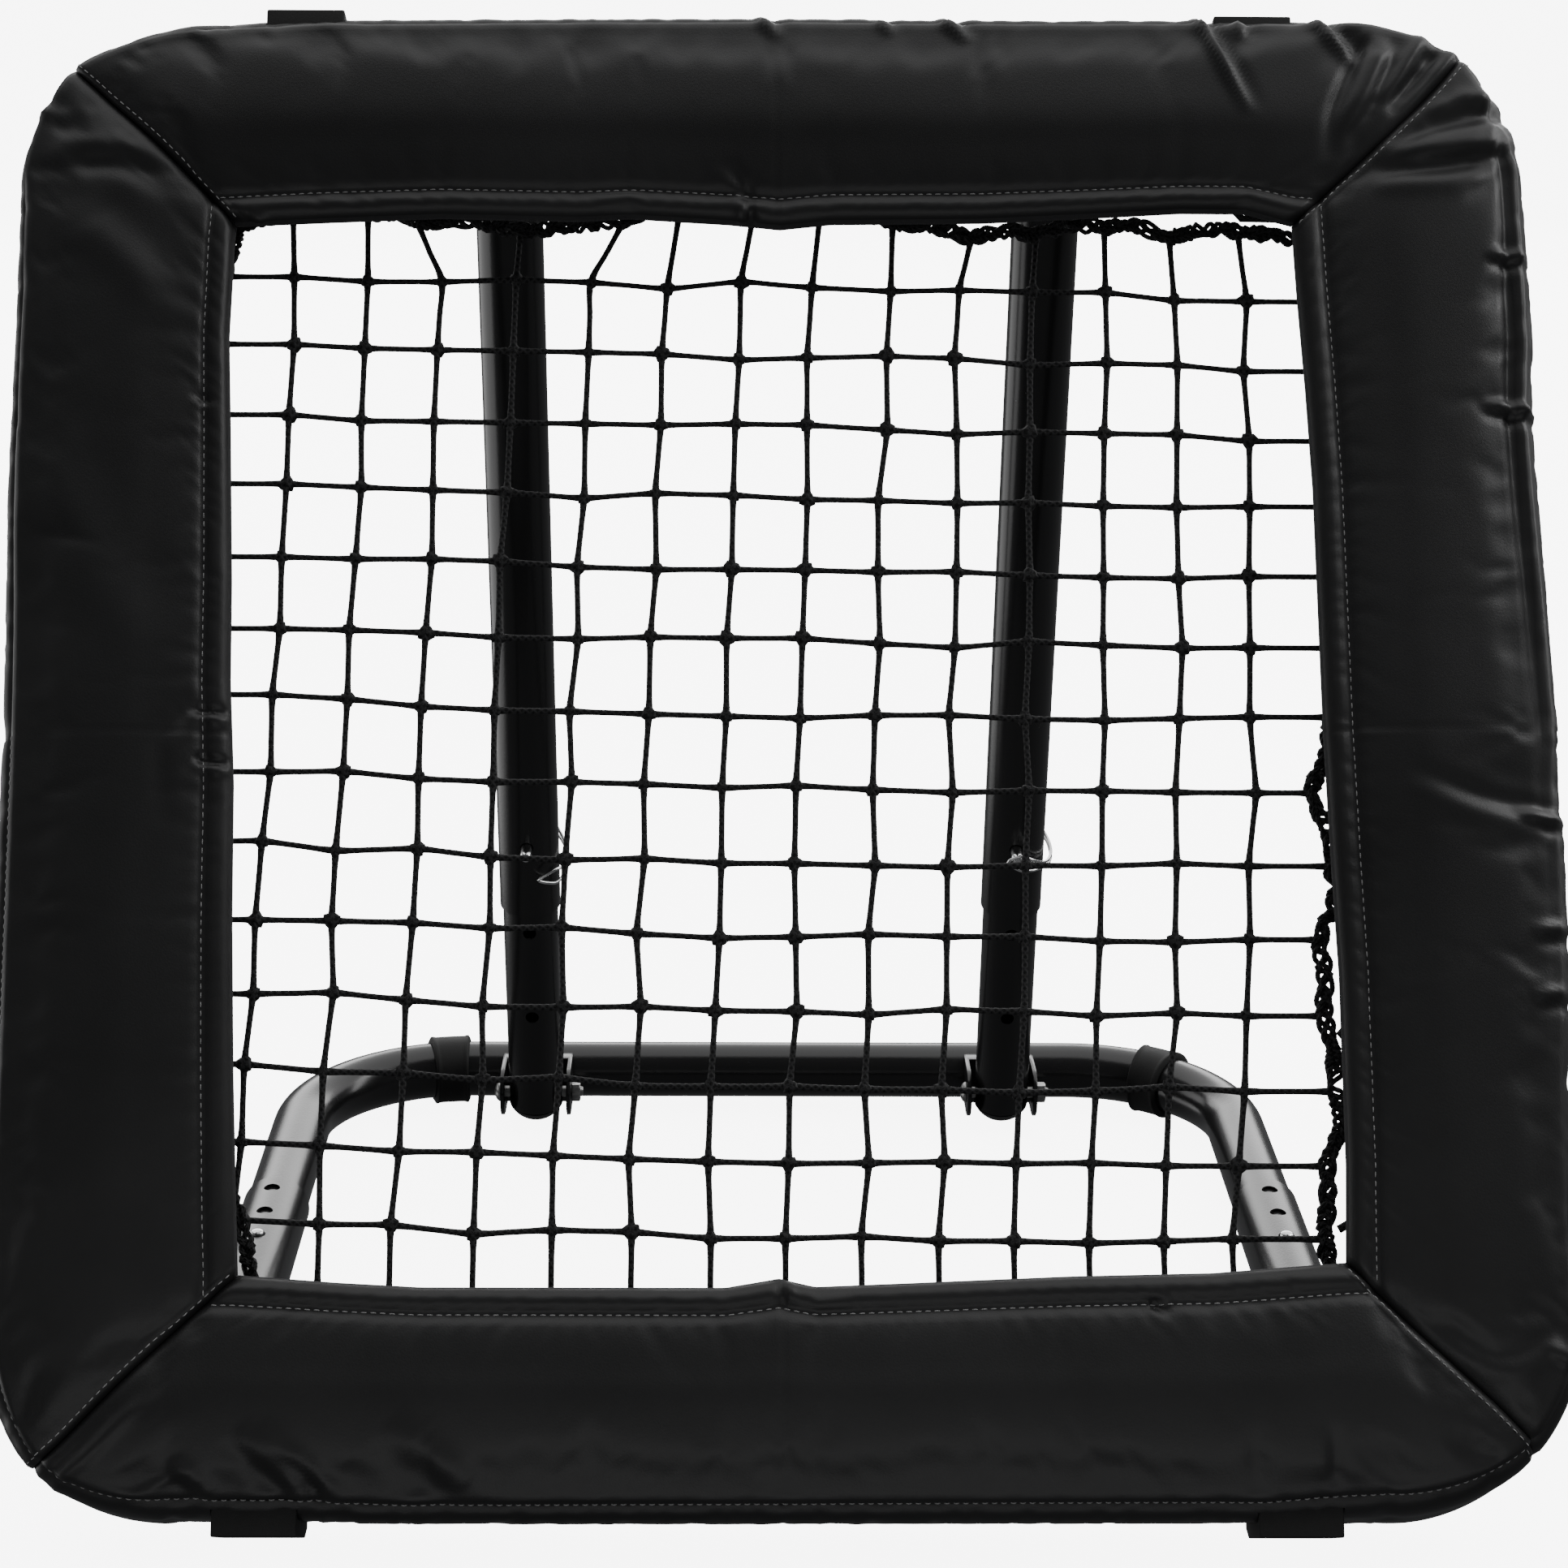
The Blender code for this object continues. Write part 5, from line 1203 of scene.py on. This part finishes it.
# folds seen in the photograph on each side: width, height, and points of across and up
folds = {
    "top": [
        (0.0036, 0.0046, [(0.2526, 0.442), (0.263, 0.4206), (0.272, 0.400), (0.282, 0.376)]),
        (0.0040, 0.0040, [(0.324, 0.440), (0.338, 0.424), (0.348, 0.412)]),
        (0.0050, -0.0042, [(0.351, 0.425), (0.340, 0.401), (0.332, 0.377), (0.330, 0.348)]),
        (0.0050, 0.0036, [(0.3645, 0.420), (0.3517, 0.392), (0.3426, 0.366)]),
        (0.0048, -0.0036, [(0.400, 0.419), (0.380, 0.398), (0.366, 0.380)]),
        (0.0045, 0.0030, [(0.388, 0.426), (0.372, 0.403), (0.358, 0.386)]),
        (0.0040, 0.0028, [(0.276, 0.440), (0.279, 0.428)]),
        (0.0035, 0.0030, [(-0.012, 0.442), (-0.001, 0.429)]),
        (0.0035, 0.0032, [(0.099, 0.442), (0.114, 0.427)]),
        (0.0030, 0.0022, [(0.060, 0.441), (0.068, 0.431)]),
        (0.0030, -0.0030, [(-0.017, 0.309), (-0.019, 0.326)]),
        (0.0045, -0.0022, [(-0.018, 0.327), (-0.031, 0.347)]),
        (0.0028, -0.0024, [(-0.309, 0.309), (-0.313, 0.320)]),
        (0.0028, 0.0022, [(-0.296, 0.308), (-0.302, 0.316)]),
    ],
    "right": [
        (0.0032, -0.0034, [(0.4245, 0.400), (0.4335, 0.370), (0.4340, 0.310), (0.4320, 0.240),
                           (0.4332, 0.138), (0.4353, 0.054), (0.4371, -0.030), (0.4376, -0.110),
                           (0.4378, -0.200), (0.4370, -0.290)]),
        (0.0050, -0.0036, [(0.433, 0.380), (0.393, 0.372), (0.365, 0.359)]),
        (0.0048, 0.0034, [(0.434, 0.363), (0.400, 0.358), (0.370, 0.351)]),
        (0.0060, -0.0030, [(0.422, 0.350), (0.381, 0.344), (0.354, 0.343)]),
        (0.0042, 0.0030, [(0.432, 0.388), (0.410, 0.388), (0.388, 0.379)]),
        (0.0032, 0.0034, [(0.440, 0.291), (0.418, 0.292)]),
        (0.0034, 0.0042, [(0.442, 0.196), (0.412, 0.199)]),
        (0.0060, -0.0022, [(0.440, -0.045), (0.400, -0.037), (0.358, -0.020)]),
        (0.0036, 0.0040, [(0.442, -0.050), (0.420, -0.046)]),
        (0.0040, 0.0028, [(0.441, -0.113), (0.425, -0.116)]),
        (0.0040, 0.0028, [(0.441, -0.150), (0.424, -0.154)]),
        (0.0060, -0.0015, [(0.428, -0.352), (0.393, -0.361), (0.362, -0.347)]),
        (0.0042, 0.0018, [(0.436, -0.370), (0.420, -0.355)]),
    ],
    "left": [
        (0.0075, -0.0030, [(-0.412, 0.350), (-0.383, 0.346), (-0.350, 0.326)]),
        (0.0042, 0.0018, [(-0.436, 0.390), (-0.414, 0.380)]),
        (0.0140, 0.0020, [(-0.412, 0.308), (-0.372, 0.272), (-0.345, 0.244)]),
        (0.0024, -0.0018, [(-0.323, 0.198), (-0.336, 0.200)]),
        (0.0028, -0.0034, [(-0.315, 0.010), (-0.336, 0.012)]),
        (0.0028, -0.0034, [(-0.315, -0.020), (-0.334, -0.017)]),
        (0.0060, -0.0016, [(-0.336, 0.012), (-0.352, -0.010), (-0.350, -0.060)]),
        (0.0180, 0.0016, [(-0.430, 0.160), (-0.390, 0.080), (-0.350, 0.040)]),
    ],
    "bottom": [
        (0.0062, 0.0030, [(-0.262, -0.434), (-0.280, -0.412), (-0.296, -0.392)]),
        (0.0062, 0.0030, [(-0.242, -0.436), (-0.264, -0.414), (-0.285, -0.392)]),
        (0.0060, 0.0026, [(-0.314, -0.436), (-0.336, -0.412)]),
        (0.0090, 0.0024, [(-0.168, -0.430), (-0.214, -0.390)]),
        (0.0042, 0.0020, [(-0.400, -0.424), (-0.369, -0.394), (-0.344, -0.371)]),
        (0.0045, -0.0024, [(-0.253, -0.436), (-0.265, -0.412)]),
        (0.0026, -0.0024, [(0.206, -0.326), (0.216, -0.332)]),
        (0.0042, -0.0018, [(0.305, -0.430), (0.302, -0.394)]),
        (0.0030, -0.0028, [(0.000, -0.313), (0.002, -0.326)]),
    ],
}


def padSection():
    # the cover's section, as many points out as back: outward, forward
    inside, outside, hollow, face, back = (padParts[part] for part in (
        "inside", "outside", "hollow", "face", "back"))
    wall, middle = stand["rail"] + hollow, (inside + outside) / 2
    outer = [(inside, hollow + padParts["hem"] - 0.001), (inside + 0.006, 0.0362),
             (inside + 0.016, face - 0.0030), (inside + 0.045, face),
             (middle, face + padParts["crown"]), (outside - 0.030, face),
             (outside - 0.014, face - 0.0010), (outside - 0.006, face - 0.0045),
             (outside - 0.003, face - 0.010), (outside, face - 0.020), (outside + 0.001, 0.004),
             (outside - 0.001, -back + 0.012), (outside - 0.004, -back)]
    inner = [(inside - 0.001, hollow + 0.001), (inside + 0.015, hollow), (inside + 0.045, hollow),
             (wall - 0.012, hollow), (wall, hollow - 0.006), (wall, 0.006),
             (wall, -back + 0.010), (wall + 0.003, -back)]
    front = evenWay(smoothWay(outer, 6), padParts["cell"])
    rear = smoothWay(inner, 6)
    run = lengths(rear)
    rear = readAt(np.linspace(0.0, run[-1], len(front)), run, rear)
    return np.vstack([front, rear[::-1]]), len(front)


def padPlaces(section, fractions):
    # where a section point goes at a fraction of the half length: straight up to turnAt, then
    # round the corner on its own radius, so that the ends meet on the square's diagonal
    pad = padParts
    out, forward = section[:, 0][None, :], section[:, 1][None, :]
    share = np.abs(fractions)[:, None]
    sign = np.where(fractions < 0, -1.0, 1.0)[:, None]
    radius = np.maximum(out - pad["turnAt"], 0.0)
    straight = np.minimum(out, pad["turnAt"])
    along = share * (straight + radius * math.pi / 4)
    bent = along > straight
    angle = np.where(bent, (along - straight) / np.maximum(radius, 1e-6), 0.0)
    x = np.where(bent, straight + radius * np.sin(angle), along)
    o = np.where(bent, pad["turnAt"] + radius * np.cos(angle), out)
    x = x - np.where(share >= 1.0, pad["gap"], 0.0)
    drop = pad["seamDrop"] * share ** 24 * (forward > pad["hollow"] + 0.004)
    toSeam = (1.0 - share) * (straight + radius * math.pi / 4)
    return sign * x, o + 0.0 * x, forward - drop + 0.0 * x, sign * toSeam


def warped(side, along, outward, forward):
    # draw the opening's edge to where the photograph has it, swell the outer edge, and pull
    # the face's corners askew: each pull fades away from its own edge
    warp = warpParts
    across, rise = sideTurned(side, along, outward)
    far = np.maximum(np.abs(across), np.abs(rise))
    less = np.minimum(np.abs(across), np.abs(rise))
    inward = fade(far, stand["rail"], padParts["inside"] - stand["rail"])
    outwards = fade(far, stand["rail"], warp["outward"])
    onFace = fade(forward, *warp["onFace"])
    near = fade(less, *warp["corner"])
    tip = fade(less, *warp["tip"]) ** 2
    moved = [across.copy(), rise.copy()]
    for name, (axis, sign, alongSign) in {"top": (1, 1, 1), "bottom": (1, -1, -1),
                                          "right": (0, 1, -1), "left": (0, -1, 1)}.items():
        place = (across if axis == 1 else rise) * alongSign
        level = (rise if axis == 1 else across) * sign
        share = fade(level, *warp["side"]) ** 2
        pull = (readTable(innerEdge[name], place) * inward
                + readTable(outerEdge[name], place) * outwards * onFace)
        moved[axis] = moved[axis] + sign * pull * share
    for (acrossSign, riseSign), pull in cornerPull.items():
        here = (across * acrossSign > 0) & (rise * riseSign > 0)
        weight = here * near * (1.0 - inward) * onFace
        tipWeight = here * tip * (1.0 - inward) * onFace
        for axis in (0, 1):
            moved[axis] = moved[axis] + pull[axis] * weight \
                + cornerTip[acrossSign, riseSign][axis] * tipWeight
    return moved[0], moved[1], forward


def loft(points, count, along, around):
    # a closed loft: the grid wraps round the section, and each end is closed by faces from
    # its front run to its back run
    rows, columns = points.shape[:2]
    verts, faces, uv = skinOver(points, False, True, around, along)
    i = np.arange(count - 1)
    cap = np.stack([i, i + 1, columns - 2 - i, columns - 1 - i], -1)
    ends = np.concatenate([cap[:, ::-1], cap + (rows - 1) * columns])
    capUv = np.zeros((len(ends), 4, 2))
    return verts, np.concatenate([faces, ends]), np.concatenate([uv, capUv])


def swelled(points, count, held):
    # blow the skin up a little, with spare cloth that has to buckle between its seams; each
    # point's move is then held to the cap: cap tanh(far / cap) along its own way
    rows, columns = points.shape[:2]
    skin = loft(points, count, np.zeros(rows + 1), np.zeros(columns + 1))
    blank = buildPiece("swelling", [skin], vinyl, weld=0.0)
    group = blank.vertex_groups.new(name="held")
    for level in np.unique(held[held > 0.0]):
        group.add(np.flatnonzero(held.ravel() == level).tolist(), float(level), "REPLACE")
    cloth = blank.modifiers.new("swell", "CLOTH")
    for name, value in clothSettings.items():
        setattr(cloth.settings, name, value)
    cloth.settings.effector_weights.gravity = 0.0
    cloth.collision_settings.use_collision = False
    cloth.point_cache.frame_end = clothParts["frames"]
    scene = bpy.context.scene
    for step in range(1, clothParts["frames"] + 1):
        scene.frame_set(step)
    ready = blank.evaluated_get(bpy.context.evaluated_depsgraph_get()).data
    after = np.empty(len(ready.vertices) * 3, np.float32)
    ready.vertices.foreach_get("co", after)
    move = after.reshape(points.shape) - points
    far = np.linalg.norm(move, axis=2, keepdims=True)
    mesh = blank.data
    bpy.data.objects.remove(blank)
    bpy.data.meshes.remove(mesh)
    scene.frame_set(1)
    return points + move * clothParts["cap"] * np.tanh(far / clothParts["cap"]) \
        / np.maximum(far, 1e-9)


def finer(points):
    # more rows and columns on the same smooth surface, whose columns meet round the section
    step = padParts["fine"]
    rows, columns, depth = points.shape
    tall = smoothWay(points.reshape(rows, -1), step).reshape(-1, columns, depth)
    wide = smoothWay(tall.transpose(1, 0, 2).reshape(columns, -1), step, closed=True)
    return wide.reshape(-1, tall.shape[0], depth).transpose(1, 0, 2)


def gridNormals(points):
    # the cross product of the surface's two directions; columns meet round the section
    byRow = np.gradient(points, axis=0)
    byColumn = np.roll(points, -1, 1) - np.roll(points, 1, 1)
    normal = np.cross(byRow, byColumn)
    return normal / np.maximum(np.linalg.norm(normal, axis=2, keepdims=True), 1e-12)


def foldHeights(side, along, outward):
    # the folds' heights over a side: for the nearest point of each fold's line at distance d,
    # height (e^-(d/w)^2 - 0.55 e^-((d - 1.7w)/w)^2) for d measured to one side,
    # which fades towards the line's end
    across, rise = sideTurned(side, along, outward)
    total = np.zeros_like(across)
    for width, height, line in folds[side]:
        line = smoothWay(line, 4) if len(line) > 2 else np.linspace(line[0], line[1], 5)
        best = np.full(across.shape, 9.0)
        signed, share = np.zeros_like(across), np.zeros_like(across)
        for k, (a, b) in enumerate(zip(line[:-1], line[1:])):
            way = b - a
            size = float(np.hypot(*way))
            t = np.clip(((across - a[0]) * way[0] + (rise - a[1]) * way[1]) / size ** 2, 0.0, 1.0)
            dx, dy = across - a[0] - t * way[0], rise - a[1] - t * way[1]
            far = np.hypot(dx, dy)
            turn = np.where(way[0] * dy - way[1] * dx < 0.0, -1.0, 1.0)
            nearer = far < best
            best = np.where(nearer, far, best)
            signed = np.where(nearer, turn * far, signed)
            share = np.where(nearer, (k + t) / (len(line) - 1), share)
        ending = (1.0 - share ** 3) * np.clip(share * 6.0 + 0.5, 0.0, 1.0)
        beside = bell(signed, 1.7 * width, width) * (best < 5.0 * width)
        total += height * ending * (bell(best, 0.0, width) - 0.55 * beside)
    return total


def nearestColumn(section, outward, forward):
    # the section's point nearest to a place
    return int(np.argmin(np.hypot(section[:, 0] - outward, section[:, 1] - forward)))


def heldWeights(shape, count, seam, stitch):
    # how firmly each point is held while the cloth swells: the back, the ends and the rims
    # stay put, and both rows of stitches nearly do
    held = np.zeros(shape)
    held[:, count - 2:] = 1.0
    held[:, 0] = 1.0
    held[:2] = 1.0
    held[-2:] = 1.0
    held[:, seam] = np.maximum(held[:, seam], 0.8)
    held[:, stitch] = np.maximum(held[:, stitch], 0.9)
    return held


def makePads():
    part = padParts
    half = part["length"] / 2
    section, count = padSection()
    rows = int(round(part["length"] / part["cell"])) // 2 * 2 + 1
    places = padPlaces(section, np.linspace(-1.0, 1.0, rows))
    # seams lie on the column nearest to their place on the section
    seam = nearestColumn(section[:count], part["outside"] - 0.0035, part["face"] - 0.009)
    stitch = int(np.argmin(np.abs(section[:8, 0] - part["inside"] - part["stitchIn"])))
    held = heldWeights((rows, len(section)), count, seam, stitch)
    step, run = part["fine"], lengths(section)
    regular = finer(np.stack(places, -1))
    fineRun = np.interp(np.arange(len(section) * step) / step, np.arange(len(section)), run)
    fineCount = (count - 1) * step + 1
    seams = {"seam": seam * step, "stitch": stitch * step}
    made = {}
    for side in ("top", "right", "bottom", "left"):
        points = onFrame(*warped(side, *places[:3]))
        points = swelled(points, count, held)
        points = finer(points)
        height = reliefOf(side, regular, fineRun, seams, fineCount)
        points = points + alongMitre(side, gridNormals(points), regular) * height[:, :, None]
        made[side] = points
        mesh = loft(points, fineCount, np.linspace(-half, half, points.shape[0] + 1),
                    np.append(fineRun, run[-1] + 0.005))
        pad = buildPiece("padCover_" + side, [mesh], vinyl, weld=0.0, sharp=70.0)
        pad.data.materials.append(lining)
        faces, columns = np.arange(len(pad.data.polygons)), points.shape[1]
        inside = (faces % columns > fineCount) & (faces < (points.shape[0] - 1) * columns)
        pad.data.polygons.foreach_set("material_index", inside.astype(np.int32))
        if side in ("top", "bottom"):
            cutAway(pad, [notch(side)], 70.0)
        settle(pad, "frame", "vinyl", "pad_" + side)
    makeStitches(made, regular, seams)


def notch(side):
    # two boxes in one cutter, where the rubber blocks sit
    part = notchParts
    return [boxSkin(lambda along, outward, out: onSide(side, along, outward, out),
                    (middle - part["half"], middle + part["half"]), (part["from"], part["to"]),
                    (part["back"], part["depth"])) for middle in (-part["at"], part["at"])]


def alongMitre(side, normal, regular):
    # near the mitre the way out is laid into the mitre's own plane, so that neighbours still
    # meet: n - w (n . m) m, where m is square to the plane and w fades with distance
    ahead = onSide(side, 1.0, 0.0, 0.0) - onSide(side, 0.0, 0.0, 0.0)
    outwards = onSide(side, 0.0, 1.0, 0.0) - onSide(side, 0.0, 0.0, 0.0)
    square = (np.sign(regular[:, :, 0])[:, :, None] * ahead - outwards) / math.sqrt(2.0)
    share = bell(regular[:, :, 3], 0.0, padParts["mitreFade"])[:, :, None]
    laid = normal - share * (normal * square).sum(2, keepdims=True) * square
    return laid / np.maximum(np.linalg.norm(laid, axis=2, keepdims=True), 1e-9)


def reliefOf(side, regular, run, seams, fineCount):
    # how far each point stands off the swelled skin: the row of stitches draws it in, the hem
    # rolls between stitches and edge, the outer seam is a deep groove, the mitre dips, and
    # the side's first end laps over its neighbour in a narrow flat strip
    part = padParts
    along, outward, _, toSeam = np.moveaxis(regular, 2, 0)
    onFront = (np.arange(regular.shape[1]) < fineCount)[None, :]
    wave = sum(height * bell(run, run[seams[name]] * share + past, width)
               for name, share, past, width, height in reliefWaves)
    welt = part["weltDip"] * bell(run, run[seams["seam"]], part["weltWidth"])
    deep = np.clip((along - 0.25) / 0.08, 0.15, 1.0) if side == "right" else 1.0
    near = np.abs(toSeam)
    mitre = -part["mitreDip"] * bell(near, 0.0, part["mitreWidth"])
    lap = part["lapTall"] * fade(near, part["lap"] + part["lapEdge"], -part["lapEdge"])
    height = wave[None, :] - welt[None, :] * deep + mitre + lap * (along < 0.0) \
        + foldHeights(side, along, outward)
    return height * onFront


stitchParts = {"long": 0.0040, "gap": 0.0012, "radius": 0.00034, "lift": 0.00012, "mitre": 0.0036,
               "bow": 0.0006, "shape": [0.0, 0.9, 1.0, 1.0, 0.9, 0.0], "samples": 260}


def gridAt(points, row, column):
    # the surface at fractional rows and columns, straight between grid points
    r, c = np.floor(row).astype(int), np.floor(column).astype(int)
    r, c = np.clip(r, 0, points.shape[0] - 2), np.clip(c, 0, points.shape[1] - 2)
    s, t = (row - r)[:, None], (column - c)[:, None]
    return ((1 - s) * (1 - t) * points[r, c] + s * (1 - t) * points[r + 1, c]
            + (1 - s) * t * points[r, c + 1] + s * t * points[r + 1, c + 1])


def sewAlong(path, normal):
    # a row of stitches on a path: each is a short bar whose ends dive into the cloth:
    # its middle line is a half wave of the share along it
    sewn, run = stitchParts, lengths(path)
    pitch = sewn["long"] + sewn["gap"]
    starts = np.arange(pitch * 0.5, run[-1] - pitch, pitch)
    share = np.linspace(0.0, 1.0, len(sewn["shape"]))
    at = starts[:, None] + share[None, :] * sewn["long"]
    outward = unit(readAt(at, run, normal))
    lift = sewn["lift"] + sewn["bow"] * (np.sin(math.pi * share) - 0.6)
    place = readAt(at, run, path) + outward * lift[None, :, None]
    first = np.cross(outward, unit(np.gradient(place, axis=1)))
    size = sewn["radius"] * np.array(sewn["shape"])[:, None, None]
    return ringsRound(place, size, 5, (first, outward))


def makeStitches(made, regular, seams):
    # stitches along the opening and the lapped edge of each mitre, and by the lower outer seams
    for side, points in made.items():
        normal = gridNormals(points)
        rows = points.shape[0]
        row = np.linspace(1.0, rows - 2.0, stitchParts["samples"])
        ways = [(row, np.full(row.shape, float(seams["stitch"])))]
        if side in ("left", "bottom"):
            low = row[:len(row) // 2] if side == "left" else row
            ways.append((low, np.full(low.shape, seams["seam"] - 1.5)))
        column = np.linspace(0.5, seams["seam"] + 4.0, 60)
        toSeam = np.abs(regular[:rows // 4, :, 3])
        reach = [np.interp(stitchParts["mitre"], toSeam[:, int(c)], np.arange(rows // 4))
                 for c in column]
        ways.append((np.array(reach), column))
        bars = np.concatenate([sewAlong(gridAt(points, *way), gridAt(normal, *way))
                               for way in ways])
        addPiece("stitches_" + side, [manySkins(bars)], thread, "frame", "vinyl", weld=0.0000005)


makePads()
print("rebounder net: cover and stitches made")


# studio
studio = {"floor": 50.0, "backdrop": 14.0, "floorColour": (0.88, 0.88, 0.88), "floorGlow": 7.0,
          "world": (0.80, 0.81, 0.83), "worldStrength": 0.14, "sun": 2.6, "sunWide": 100.0,
          "sunWay": (-0.15, -0.62, -1.0)}
# each lamp's place, the point that it looks at, its width, height and power
lamps = {
    "leftWall": ((-2.6, 1.3, 0.1), (0.0, 1.2, 0.2), 3.6, 2.4, 40.0),
    "rightStrip": ((2.6, 0.9, 1.5), (0.0, 0.1, 0.35), 0.6, 2.2, 20.0),
    "backWall": ((0.0, 5.0, 1.75), (0.0, 0.0, 0.9), 7.0, 1.6, 110.0),
    "lowFill": ((0.0, -1.9, 0.25), (0.0, 0.0, 0.35), 2.4, 0.5, 5.0),
    "highRight": ((2.05, -0.25, 2.07), (0.38, 0.3, 0.75), 0.5, 0.5, 13.0),
}
cameraParts = {"place": (-0.025857, -2.016011, 0.959165), "pitch": 0.29594666,
               "yaw": 0.01521271, "roll": 0.00825874, "lens": 78.26}


def makeFloor():
    # a glowing tray, kept out of the object's reflections, shade and shadows
    half, tall = studio["floor"] / 2, studio["backdrop"]
    mesh = bpy.data.meshes.new("floor")
    ring = [(-half, -half), (half, -half), (half, half), (-half, half)]
    mesh.from_pydata([(x, y, z) for z in (0.0, tall) for x, y in ring], [],
                     [(0, 1, 2, 3), (0, 4, 5, 1), (1, 5, 6, 2), (2, 6, 7, 3), (3, 7, 4, 0)])
    made = bpy.data.materials.new("paleFloor")
    made.use_nodes = True
    shader = made.node_tree.nodes["Principled BSDF"]
    for name, value in {"Base Color": (*studio["floorColour"], 1.0), "Roughness": 0.85,
                        "Specular IOR Level": 0.1, "Emission Color": (1.0, 1.0, 1.0, 1.0),
                        "Emission Strength": studio["floorGlow"]}.items():
        shader.inputs[name].default_value = value
    mesh.materials.append(made)
    floor = newObject("floor", mesh)
    floor.visible_diffuse = False
    floor.visible_glossy = False
    floor.visible_shadow = False


def makeWorld():
    world = bpy.data.worlds.new("paleRoom")
    world.use_nodes = True
    ground = world.node_tree.nodes["Background"]
    ground.inputs["Color"].default_value = (*studio["world"], 1.0)
    ground.inputs["Strength"].default_value = studio["worldStrength"]
    bpy.context.scene.world = world


def lookAlong(way):
    # the turn whose columns are right, up and back, for something that looks along a direction
    back = -unit(np.array(way, float))
    right = unit(np.cross(upward, back))
    return Matrix(np.stack([right, np.cross(back, right), back], -1)).to_euler()


def makeLamps():
    # a wide soft sun, and the soft lamps, which the camera doesn't see
    sun = bpy.data.lights.new("daylight", "SUN")
    sun.energy = studio["sun"]
    sun.angle = math.radians(studio["sunWide"])
    newObject("daylight", sun).rotation_euler = lookAlong(studio["sunWay"])
    for name, (place, target, width, height, power) in lamps.items():
        light = bpy.data.lights.new(name, "AREA")
        light.shape = "RECTANGLE"
        light.size = width
        light.size_y = height
        light.energy = power
        lamp = newObject(name, light)
        lamp.location = place
        lamp.rotation_euler = lookAlong(np.subtract(target, place))
        lamp.visible_camera = False


def makeCamera():
    # the camera that was fitted to the photograph
    pitch, yaw, roll = (cameraParts[turn] for turn in ("pitch", "yaw", "roll"))
    look = np.array([math.sin(yaw) * math.cos(pitch), math.cos(yaw) * math.cos(pitch),
                     -math.sin(pitch)])
    level = np.array([math.cos(yaw), -math.sin(yaw), 0.0])
    rise = np.cross(level, look)
    right = math.cos(roll) * level + math.sin(roll) * rise
    over = -math.sin(roll) * level + math.cos(roll) * rise
    data = bpy.data.cameras.new("camera")
    data.lens = cameraParts["lens"]
    data.sensor_width = 36.0
    data.clip_start = 0.05
    data.clip_end = 200.0
    camera = newObject("camera", data)
    turned = np.stack([right, over, -look, np.array(cameraParts["place"])], -1)
    camera.matrix_world = Matrix(np.vstack([turned, [0.0, 0.0, 0.0, 1.0]]))
    bpy.context.scene.camera = camera


makeFloor()
makeWorld()
makeLamps()
makeCamera()
print("rebounder net: studio set")
